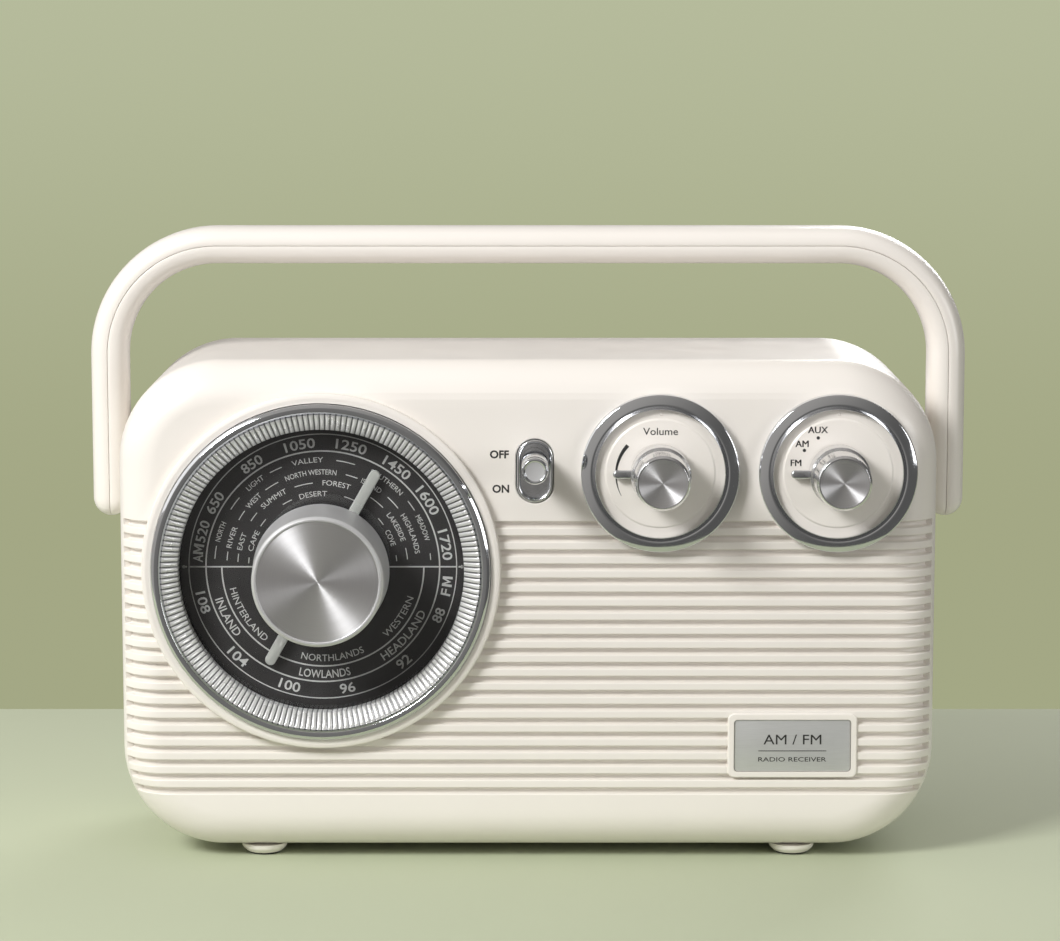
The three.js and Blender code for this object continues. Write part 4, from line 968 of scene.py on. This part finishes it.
def small_dial(kind):
    bezel = middle(f"{kind}_bezel")
    x, z = bezel.x, bezel.z
    ring = rounded([
        (SMALL_OUTER, 0.1), (SMALL_OUTER, -3.2, 0.6), (SMALL_OUTER - 2.9, -4.12, 1.2), (18.75, -3.5, 0.35),
        (18.75, -2.2, 0.15), (19.25, -2.1), (19.25, 0.1),
    ], steps=6)
    piece(f"{kind}_chrome_ring", lathe(ring, x, z, 144), CHROME, "cabinet", [f"{kind}_bezel"], 50)
    dish = rounded([
        (2.3, -2.2), (15.6, -2.2, 0.5), (16.1, -1.85, 0.3), (18.9, -1.85, 0.3), (19.1, -1.7), (19.1, -0.3),
        (9.7, -0.3), (9.7, 3.4), (2.3, 3.4),
    ])
    plate_mesh = lathe(dish, x, z, 144)
    dimple = lathe([(0, -1.85), (0.45, -1.85), (0.42, -2.02), (0.25, -2.12), (0, -2.15)], x, z + 17.3, 20)
    piece(f"{kind}_dish", joined(plate_mesh, dimple), CREAM, "cabinet",
          [f"{kind}_plate"], 40)
    mesh = small_knob(bezel)
    face_material(mesh, FRONT + SMALL_FACE + 0.6, 7.0, bezel)
    spun = spun_metal(f"spun_{kind}_face", bezel, (0.82, 0.815, 0.83), 0.36)
    piece(f"{kind}_knob_turned", mesh, [POLISHED, spun], f"{kind}_control",
          [f"{kind}_knob"], 25)
    low, high = corners(f"{kind}_pointer")
    half = (high.z - low.z) / 2
    stub = soft_block(low.x, high.x + 1, low.y, high.y, z - half, z + half, half - 0.02, 0.5)
    piece(f"{kind}_stub", stub, CHROME, f"{kind}_control", [f"{kind}_pointer"])
    return x, z


def flat_text(text, height, x, z, bold=0.0, width=None):
    mesh = glyphs(text, height, bold, width)
    for v in mesh.vertices:
        v.co = (x + v.co.x, v.co.z, z + v.co.y)
    return mesh


def crescent():
    """The volume scale: an arc on the left that grows thicker clockwise, from below to above."""
    outer, start, sweep = 13.1, 240, 71
    thin, swell = 0.12, 1.0
    shares = [k / 24 for k in range(25)]
    return band([(start + sweep * share, outer - (thin + swell * share), outer) for share in shares])


def dot(radius, x, z):
    half = PRINT_RISE / 2
    rings = [[(x + radius * math.cos(2 * math.pi * k / 20), y, z + radius * math.sin(2 * math.pi * k / 20))
              for k in range(20)] for y in (-half, half)]
    return unscaled(skin(rings))


PLATE_FACE = -2.2
MARK_RING = 12.0                    # radius of the source dial's dots
volume_x, volume_z = small_dial("volume")
source_x, source_z = small_dial("source")
printed("volume_printing", [flat_text("Volume", 2.2, 0, 12.4, 0.004, 10.1), crescent()], volume_x,
        FRONT + PLATE_FACE, volume_z, DARK_PRINT)
source_marks = []
# label, the dot's angle, and the label's place from the dot
for label, degrees, dx, dz in [("FM", 180, -0.3, 3.2), ("AM", 145.6, -0.7, 2.0), ("AUX", 119.6, -0.1, 2.4)]:
    a = math.radians(degrees)
    px, pz = MARK_RING * math.cos(a), MARK_RING * math.sin(a)
    source_marks.append(dot(0.5, px, pz))
    # drawn twice a little apart, for heavier strokes
    source_marks += [flat_text(label, 2.0, px + dx + side, pz + dz) for side in (-0.06, 0.06)]
printed("source_printing", source_marks, source_x, FRONT + PLATE_FACE, source_z, DARK_PRINT)

# ---------------- power switch

switch_low, switch_high, switch_x, switch_z = located("power_bezel")
SWITCH_WIDTH, SWITCH_HEIGHT = switch_high.x - switch_low.x, switch_high.z - switch_low.z


def power_bezel():
    outline = stadium_outline(SWITCH_WIDTH, SWITCH_HEIGHT, SWITCH_WIDTH / 2 - 0.01, 14)
    levels = [(0, 4.4), (0, -0.1), (0.15, -0.32), (0.4, -0.4), (0.8, -0.28), (1.0, 0.05), (1.1, 2.6)]
    return slab(outline, levels, switch_x, switch_z)


frame_mesh = power_bezel()
face_material(frame_mesh, FRONT + 9, 99, Vector((switch_x, 0, switch_z)))
piece("power_chrome_frame", frame_mesh, [CHROME, POLISHED], "cabinet", ["power_bezel"], 50)


def power_slider():
    low, high = corners("power_slider")
    place = (low + high) / 2
    face = low.y - FRONT
    radius = (high.x - low.x) / 2
    profile = rounded([
        (0, face + 0.45), (2.0, face + 0.4), (2.75, face + 0.3, 0.2), (3.1, face, 0.15), (3.5, face, 0.2),
        (radius, face + 0.6, 0.3), (radius, face + 3.2, 0.1), (radius - 0.25, face + 3.45),
        (radius - 0.25, face + 3.9), (radius, face + 4.15, 0.1), (radius, 2.3), (1.4, 2.3), (1.4, 7.6),
        (0, 7.6),
    ], closed=False)
    return lathe(profile, place.x, place.z, 96)


peg_mesh = power_slider()
peg = middle("power_slider")
face_material(peg_mesh, FRONT, 2.8, peg)
piece("power_slider_peg", peg_mesh, [CHROME, SATIN_SIDE], "power_button", ["power_slider"], 35)
printed("power_printing", [flat_text("OFF", 2.3, -10.3, 5.0, 0.03), flat_text("ON", 2.3, -9.9, -5.1, 0.03)],
        switch_x, FRONT, switch_z, DARK_PRINT)

# ---------------- name plate


def name_plate():
    outline = stadium_outline(NAME_WIDTH, NAME_HEIGHT, 1.0, 5)
    y0, y1 = name_low.y - FRONT, name_high.y - FRONT
    levels = [(0.22, y0), (0.07, y0 + 0.06), (0, y0 + 0.22), (0, y1)]
    return slab(outline, levels, name_middle.x, name_middle.z)


def name_marks():
    marks = [flat_text("AM / FM", 3.1, 0, 1.9, 0, 17)]
    marks.append(flat_text("RADIO RECEIVER", 1.35, 0, -4.1, 0.004, 20))
    marks.append(stroke(-10, -1.6, 10, -1.6, 0.22))
    return marks


piece("name_plate_brushed", name_plate(), BRUSHED, "cabinet", ["name_plate"])
printed("name_plate_printing", name_marks(), name_middle.x, name_low.y, name_middle.z, DARK_PRINT)

# ---------------- handle

handle_low, handle_high = corners("handle_outer_shell")
HANDLE_Y = (handle_low.y + handle_high.y) / 2
HANDLE_DEPTH = handle_high.y - handle_low.y
HANDLE_THICKNESS = 11.2
HANDLE_CORNER = 38.5
LEG_END = handle_low.z
HALF_THICK = HANDLE_THICKNESS / 2
LEG_X = handle_high.x - HALF_THICK
BAR_Z = handle_high.z - HALF_THICK
SEAM_HALF = 0.03
SEAM_SOFT = 0.3                     # rounding of each half's edge along the seam


def handle_path():
    """Points along the middle line with their outward directions, and how far each end closes up."""
    radius = HANDLE_CORNER - HALF_THICK
    bend_z = BAR_Z - radius
    bend_x = LEG_X - radius
    end_z = LEG_END + HALF_THICK
    stations = []
    for k in range(10, 0, -1):
        a = math.pi / 2 * k / 10
        stations.append(((-LEG_X, end_z - HALF_THICK * math.sin(a)), (-1, 0), a))
    stations.append(((-LEG_X, end_z), (-1, 0), 0))
    stations.append(((-LEG_X, (end_z + bend_z) / 2), (-1, 0), 0))
    for k in range(33):
        a = math.pi - math.pi / 2 * k / 32
        out = (math.cos(a), math.sin(a))
        stations.append(((-bend_x + radius * out[0], bend_z + radius * out[1]), out, 0))
    for k in range(1, 8):
        stations.append(((-bend_x + 2 * bend_x * k / 8, BAR_Z), (0, 1), 0))
    mirrored = [((-x, z), (-ox, oz), a) for (x, z), (ox, oz), a in reversed(stations[:-7])]
    return stations + mirrored


def half_section(side):
    """Half of the handle's oval section: (out, across), side 1 is the outer half."""
    points = []
    steps = 22
    half_depth = HANDLE_DEPTH / 2
    for k in range(steps + 1):
        a = math.pi * k / steps
        c, s = math.cos(a), math.sin(a)
        across = half_depth * math.copysign(abs(c) ** (2 / 2.7), c)
        out = HALF_THICK * s ** (2 / 2.7)
        points.append([max(out, SEAM_HALF), across])
    # the first and last few points roll in at the seam
    roll = [(SEAM_HALF, half_depth - 1.0), (SEAM_HALF, half_depth - 0.34),
            (SEAM_HALF + 0.1, half_depth - 0.1), (SEAM_HALF + SEAM_SOFT, half_depth - 0.02)]
    middle_part = [p for p in points if p[0] > 0.9]
    section = roll + [tuple(p) for p in middle_part] + [(o, -v) for o, v in reversed(roll)]
    return [(side * out, across) for out, across in section]


def handle_half(side):
    section = half_section(side)
    rings = []
    for (x, z), (ox, oz), close in handle_path():
        thin, narrow = math.cos(close), math.sqrt(max(0.0, math.cos(close)))
        ring = []
        for out, across in section:
            o = side * SEAM_HALF + (out - side * SEAM_HALF) * thin
            ring.append((x + ox * o, HANDLE_Y + across * narrow, z + oz * o))
        rings.append(ring)
    return skin(rings)


piece("handle_outer_half", handle_half(1), CREAM, "handle", ["handle_outer_shell"], 40)
piece("handle_inner_half", handle_half(-1), CREAM, "handle", ["handle_inner_shell"], 40)

# ---------------- feet


def foot(corner):
    name = f"foot_{corner}"
    low, high = corners(name)
    x, y = (low.x + high.x) / 2, (low.y + high.y) / 2
    radius = (high.x - low.x) / 2
    profile = rounded([
        (0, 1.6), (5.1, 1.6), (5.1, 0.6), (radius - 1.4, 0.6, 0.5), (radius, 1.9, 1.2), (radius, 3.1),
        (2.4, 3.1), (2.4, 6.6), (0, 6.6),
    ], closed=False)
    mesh = lathe(profile, x, 0, 64, "Z", y)
    piece(f"{name}_dome", mesh, CREAM, "cabinet", [name])
    pad = rounded([(0, 0), (4.8, 0, 0.35), (4.8, 1.3, 0.2), (0, 1.3)], closed=False)
    piece(f"foot_{corner}_rubber", lathe(pad, x, 0, 48, "Z", y), RUBBER, "cabinet",
          [f"foot_pad_{corner}"])


for corner in ("front_left", "front_right", "rear_left", "rear_right"):
    foot(corner)

# ---------------- back: door, screws, sockets


def battery_door():
    """The lid with soft edges, a thumb notch, three grip ridges and its two hinge pins."""
    low, high = door_low, door_high
    y0, y1 = BACK - 2.4, BACK - 0.2
    panel = soft_block(-DOOR_HALF, DOOR_HALF, y0, y1, low.z, high.z, 0.6, 0.4)
    notch = turned([(0, y1 - 1.0), (6.5, y1 - 1.0), (9, y1 + 1), (0, y1 + 1)], 0, high.z, 64)
    panel = carve(panel, [notch])
    extras = []
    for k in range(3):
        z = high.z - 12 - 2.2 * k
        extras.append(soft_block(-7, 7, y1 - 0.5, y1 + 0.3, z - 0.5, z + 0.5, 0.48, 0.25))
    panel = carve(panel, extras, "UNION")
    reach = DOOR_HALF + 1.5
    pin = lathe([(0, -reach), (0.7, -reach), (0.7, reach), (0, reach)], 0, door_axis.z, 24, "X",
                door_axis.y)
    return joined(panel, pin)


door_axis = Vector((0, BACK - WALL / 2, door_low.z + 1.1))
piece("battery_lid_panel", battery_door(), CREAM, "battery_lid", ["battery_door"],
      38, True)


CELLS = [-23.4, -7.8, 7.8, 23.4]     # middles of four cells of the AA size, side by side
CELL_RADIUS = 7.3
BAY_WALL = 1.6
bay_low, bay_high = corners("battery_box")
CELL_Y = bay_low.y + BAY_WALL + 0.3 + CELL_RADIUS


def battery_tray():
    """The bay's walls, with a floor moulded into cradles for the cells."""
    low, high = bay_low, bay_high
    shell = soft_block(low.x, high.x, low.y, high.y, low.z, high.z, 1, 0.3)
    bay = soft_block(low.x + BAY_WALL, high.x - BAY_WALL, low.y + BAY_WALL, high.y + 1, low.z + BAY_WALL,
                     high.z - BAY_WALL, 1, 0.3)
    cradle = soft_block(low.x + 2.4, high.x - 2.4, low.y + 1, CELL_Y - 2, low.z + 4, high.z - 4, 1, 0.4)
    tray = carve(carve(shell, [bay]), [cradle], "UNION")
    bottom, top = low.z + 5, high.z - 5
    profile = [(0, bottom), (CELL_RADIUS, bottom), (CELL_RADIUS, top), (0, top)]
    return carve(tray, [lathe(profile, x, 0, 48, "Z", CELL_Y) for x in CELLS])


def coil(x, y, top):
    """A battery spring of round wire that narrows downwards."""
    turns, drop, wire = 3.5, 4.4, 0.32
    wide, narrowing = 3.6, 1.5
    rings = []
    count = round(turns * 16)
    for k in range(count + 1):
        share = k / count
        a = 2 * math.pi * turns * share
        radius = wide - narrowing * share
        ring = []
        for j in range(6):
            b = 2 * math.pi * j / 6
            r = radius + wire * math.cos(b)
            ring.append((x + r * math.cos(a), y + r * math.sin(a), top - drop * share + wire * math.sin(b)))
        rings.append(ring)
    return skin(rings)


def battery_contacts():
    """Two sprung plates, each across a pair of cells."""
    low, high = corners("battery_contact_plate")
    meshes = [coil(x, CELL_Y, low.z - 0.2) for x in CELLS]
    for left, right in (CELLS[:2], CELLS[2:]):
        meshes.append(soft_block(left - 5.5, right + 5.5, low.y, high.y, low.z, high.z, 0.29, 0.1))
    return joined(*meshes)


piece("battery_tray", battery_tray(), BLACK, "cabinet", ["battery_box"])
piece("battery_contacts", battery_contacts(), POLISHED, "cabinet", ["battery_contact_plate"], 50)


def screw_head(node):
    """A pan head with a cross recess, seen at the bottom of its well."""
    low, high, x, z = located(node)
    seat, top = high.y - 2, high.y
    profile = [(0, low.y), (0.5, low.y), (1.2, low.y + 1.2), (1.2, seat), (3.0, seat), (3.0, seat + 0.7),
               (2.6, seat + 1.5), (1.6, top - 0.12), (0, top)]
    head = turned(profile, x, z, 48)
    arms = []
    for wide, tall in ((1.7, 0.36), (0.36, 1.7)):
        arms.append(soft_block(x - wide, x + wide, top - 1.1, top + 1, z - tall, z + tall, 0.1, 0.04))
    return carve(head, arms)


for node in SCREWS:
    piece(f"{node}_head", screw_head(node), STEEL, "cabinet", [node])


def usb_socket():
    low, high, x, z = located("usb_power_socket")
    width, height = high.x - low.x, high.z - low.z
    outline = stadium_outline(width, height, height / 2 - 0.02, 10)
    y0, y1 = low.y - FRONT, high.y - FRONT
    levels = [(0, y0), (0, y1 - 0.1), (0.08, y1), (0.4, y1), (0.48, y1 - 0.1), (0.5, y0 + 1.5)]
    tongue = soft_block(x - 3.2, x + 3.2, low.y + 1.2, high.y - 1.4, z - 0.35, z + 0.35, 0.3, 0.1)
    return slab(outline, levels, x, z), tongue


usb_shell, usb_tongue = usb_socket()
piece("usb_socket_shell", usb_shell, POLISHED, "cabinet", ["usb_power_socket"])
piece("usb_socket_tongue", usb_tongue, BLACK, "cabinet")


def aux_socket():
    _, high, x, z = located("aux_socket")
    back = high.y - FRONT
    profile = rounded([
        (1.75, back - 12), (1.75, back, 0.25), (2.9, back, 0.3), (2.9, back - 2.6), (5, back - 2.6),
        (5, back - 12.7), (0, back - 12.7), (0, back - 12),
    ], closed=False)
    return lathe(profile, x, z, 48)


piece("aux_socket_jack", aux_socket(), BLACK, "cabinet", ["aux_socket"])

# ---------------- antenna

ant_low, ant_high = corners("antenna_section_lower")
ROD_Y, ROD_Z = (ant_low.y + ant_high.y) / 2, (ant_low.z + ant_high.z) / 2
ROD_START = middle("antenna_base").x
ROD_RADIUS = 2.5


def tube(start, end, radius, bore, wall_end):
    profile = rounded([
        (0, start), (radius - 0.1, start, 0.3), (radius, start + 1.5), (radius, end - 1.2),
        (radius - 0.18, end - 0.7), (radius - 0.18, end - 0.1, 0.1), (bore, end), (bore, wall_end),
        (0, wall_end),
    ], closed=False)
    return lathe(profile, 0, ROD_Z, 40, "X", ROD_Y)


def antenna_lower():
    main = tube(ROD_START + 4, ant_high.x, ROD_RADIUS, 1.9, ROD_START + 10)
    knuckle = rounded([(0, -1.6), (2.4, -1.6, 0.2), (2.4, 1.6, 0.2), (0, 1.6)], closed=False)
    eye = lathe(knuckle, ROD_START, 0, 40, "Z", ROD_Y)
    eye.transform(Matrix.Translation((0, 0, ROD_Z * MM)))
    tongue = soft_block(ROD_START, ROD_START + 5.5, ROD_Y - 2.2, ROD_Y + 2.2, ROD_Z - 1.6, ROD_Z + 1.6,
                        0.3, 0.2)
    return joined(main, eye, tongue)


piece("antenna_lower_tube", antenna_lower(), CHROME, "antenna_lower", ["antenna_section_lower"])
mid_low, mid_high = corners("antenna_section_middle")
piece("antenna_middle_tube", tube(mid_low.x, mid_high.x, 1.6, 1.1, mid_low.x + 6), CHROME,
      "antenna_middle", ["antenna_section_middle"])
tip_low, tip_high = corners("antenna_section_tip")


def antenna_tip():
    end = tip_high.x
    profile = rounded([
        (0, tip_low.x), (0.8, tip_low.x), (0.8, end - 3.5), (2.3, end - 3.5, 0.2), (2.6, end - 2.9, 0.3),
        (2.6, end - 1.3, 0.6), (1.5, end - 0.1, 0.8), (0, end),
    ], closed=False)
    return lathe(profile, 0, ROD_Z, 40, "X", ROD_Y)


piece("antenna_tip_rod", antenna_tip(), CHROME, "antenna_tip", ["antenna_section_tip"])


def antenna_base():
    low, high, x, z = located("antenna_base")
    seat = BACK + 0.3
    front_of_rod = ROD_Y - ROD_RADIUS - 0.3
    body = rounded([(0, seat), (6.4, seat), (6.4, front_of_rod, 0.6), (0, front_of_rod)], closed=False)
    puck = turned(body, x, z, 64)
    stem = turned([(0, low.y), (1.8, low.y), (1.8, seat + 1), (0, seat + 1)], x, z, 32)
    ears = []
    for side in (-1, 1):
        low_z, high_z = sorted((z + side * 1.9, z + side * 3.3))
        ears.append(soft_block(x - 2.5, x + 2.5, front_of_rod - 0.6, high.y, low_z, high_z, 0.5, 0.3))
    return carve(puck, [stem, *ears], "UNION")


piece("antenna_swivel", antenna_base(), BLACK, "antenna_swivel_base", ["antenna_base"], 38)

# ---------------- CAD nodes that stay

STEEL_NODES = ["tuning_shaft", "volume_shaft", "source_shaft", "tuning_capacitor",
               "volume_potentiometer", "source_rotary_switch", "power_switch", "handle_pivot_left",
               "handle_pivot_right", "speaker_basket"]
BLACK_NODES = ["dial_housing", "ferrite_bracket"]
GREY_NODES = ["ferrite_rod", "speaker_magnet"]
CARRIED = [
    (STEEL_NODES, STEEL, "steel"),
    (BLACK_NODES, BLACK, "black_plastic"),
    (GREY_NODES, plain_plastic("ferrite_grey", (0.07, 0.07, 0.075), 0.65, 900), "ferrite_grey"),
    (["speaker_cone"], plain_plastic("cone_paper", (0.045, 0.043, 0.04), 0.9, 500), "cone_paper"),
    (["main_board"], plain_plastic("circuit_board", (0.04, 0.17, 0.08), 0.45, 800), "circuit_board"),
    (["ferrite_coil"], satin_metal("copper_wire", (0.65, 0.3, 0.14), 0.35, (60, 1, 1), 200), "copper_wire"),
]
for nodes, material, slot in CARRIED:
    for node in nodes:
        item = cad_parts[node]
        item.data.materials.clear()
        item.data.materials.append(material)

# ---------------- floor, lights and camera

FLOOR_SAGE = (0.46, 0.50, 0.355)
FLOOR = (-1600, 1600, -135, 184)     # left, right, front and back edges
FLOOR_THICKNESS = 20


def studio_floor():
    """A plain painted board that the radio stands on."""
    paint = Shader("studio_sage", FLOOR_SAGE, 0.8)
    paint.vary_colour(paint.noise(3, 3), 0.98, 1.02)
    left, right, front, back = FLOOR
    outline = stadium_outline(right - left, back - front, 4)
    levels = [(2, -FLOOR_THICKNESS), (0, 2 - FLOOR_THICKNESS), (0, -1.5), (0.5, -0.4), (1.6, 0)]
    centre_x, centre_y = (left + right) / 2, (front + back) / 2
    mesh = skin([[(centre_x + x, centre_y + y, z) for x, y in outline(inset)] for inset, z in levels])
    smooth(mesh, 40)
    mesh.materials.append(paint.material)
    new_object("studio_floor", mesh)


def area_light(name, place, aim, size, power, colour=(1, 1, 1)):
    data = bpy.data.lights.new(name, "AREA")
    data.shape = "RECTANGLE"
    data.size, data.size_y = size
    data.energy = power
    data.color = colour
    lamp = new_object(name, data)
    lamp.location = Vector(place)
    lamp.rotation_mode = "QUATERNION"
    lamp.rotation_quaternion = (Vector(aim) - Vector(place)).to_track_quat("-Z", "Y")


WORLD_DARK, WORLD_LIGHT = (0.12, 0.117, 0.112), (0.44, 0.42, 0.395)
BACKDROP_LOW, BACKDROP_HIGH = (0.37, 0.39, 0.235), (0.47, 0.50, 0.335)


def graded(nodes, links, direction, axis, reach, low, high):
    """A colour that runs from low to high along an axis of the sky."""
    toward = nodes.new("ShaderNodeVectorMath")
    toward.operation = "DOT_PRODUCT"
    toward.inputs[1].default_value = Vector(axis).normalized()
    links.new(direction, toward.inputs[0])
    share = nodes.new("ShaderNodeMapRange")
    share.interpolation_type = "SMOOTHSTEP"
    share.inputs["From Min"].default_value, share.inputs["From Max"].default_value = reach
    links.new(toward.outputs["Value"], share.inputs["Value"])
    mix = nodes.new("ShaderNodeMix")
    mix.data_type = "RGBA"
    mix.inputs["A"].default_value = (*low, 1)
    mix.inputs["B"].default_value = (*high, 1)
    links.new(share.outputs["Result"], mix.inputs["Factor"])
    return mix.outputs["Result"]


def studio_world():
    """Soft light from the left that falls to dark on the right, behind a plain sage backdrop."""
    world = bpy.data.worlds.new("studio_light")
    world.use_nodes = True
    nodes, links = world.node_tree.nodes, world.node_tree.links
    direction = nodes.new("ShaderNodeTexCoord").outputs["Generated"]
    light = graded(nodes, links, direction, (-0.75, 0.0, 0.55), (-0.4, 0.6), WORLD_DARK, WORLD_LIGHT)
    seen = graded(nodes, links, direction, (0, 0, 1), (-0.16, 0.02), BACKDROP_LOW, BACKDROP_HIGH)
    path = nodes.new("ShaderNodeLightPath")
    mix = nodes.new("ShaderNodeMix")
    mix.data_type = "RGBA"
    links.new(path.outputs["Is Camera Ray"], mix.inputs["Factor"])
    links.new(light, mix.inputs["A"])
    links.new(seen, mix.inputs["B"])
    links.new(mix.outputs["Result"], nodes["Background"].inputs["Color"])
    bpy.context.scene.world = world


studio_floor()
studio_world()
TARGET = (0, 0, 0.1)
area_light("key", (-0.72, -0.76, 0.80), TARGET, (0.36, 0.36), 13.8)
area_light("left_card", (-1.3, -0.5, 0.9), TARGET, (1.3, 1.2), 4)
area_light("right_card", (1.35, -0.9, 0.35), TARGET, (0.6, 0.6), 6)
area_light("back_fill", (0.7, 1.6, 0.8), TARGET, (0.9, 0.9), 15)
bpy.context.scene.view_settings.view_transform = "Standard"

CAMERA_PITCH = math.radians(8)
CAMERA_DISTANCE = 0.99
camera_data = bpy.data.cameras.new("camera")
camera_data.lens = 115.7
camera_data.sensor_width = 36
camera = new_object("camera", camera_data)
aim = Vector((0.0006, FRONT * MM, 0.1168))
back_off = Vector((0, -math.cos(CAMERA_PITCH), math.sin(CAMERA_PITCH)))
camera.location = aim + back_off * CAMERA_DISTANCE
camera.rotation_mode = "QUATERNION"
camera.rotation_quaternion = (-back_off).to_track_quat("-Z", "Y")
bpy.context.scene.camera = camera
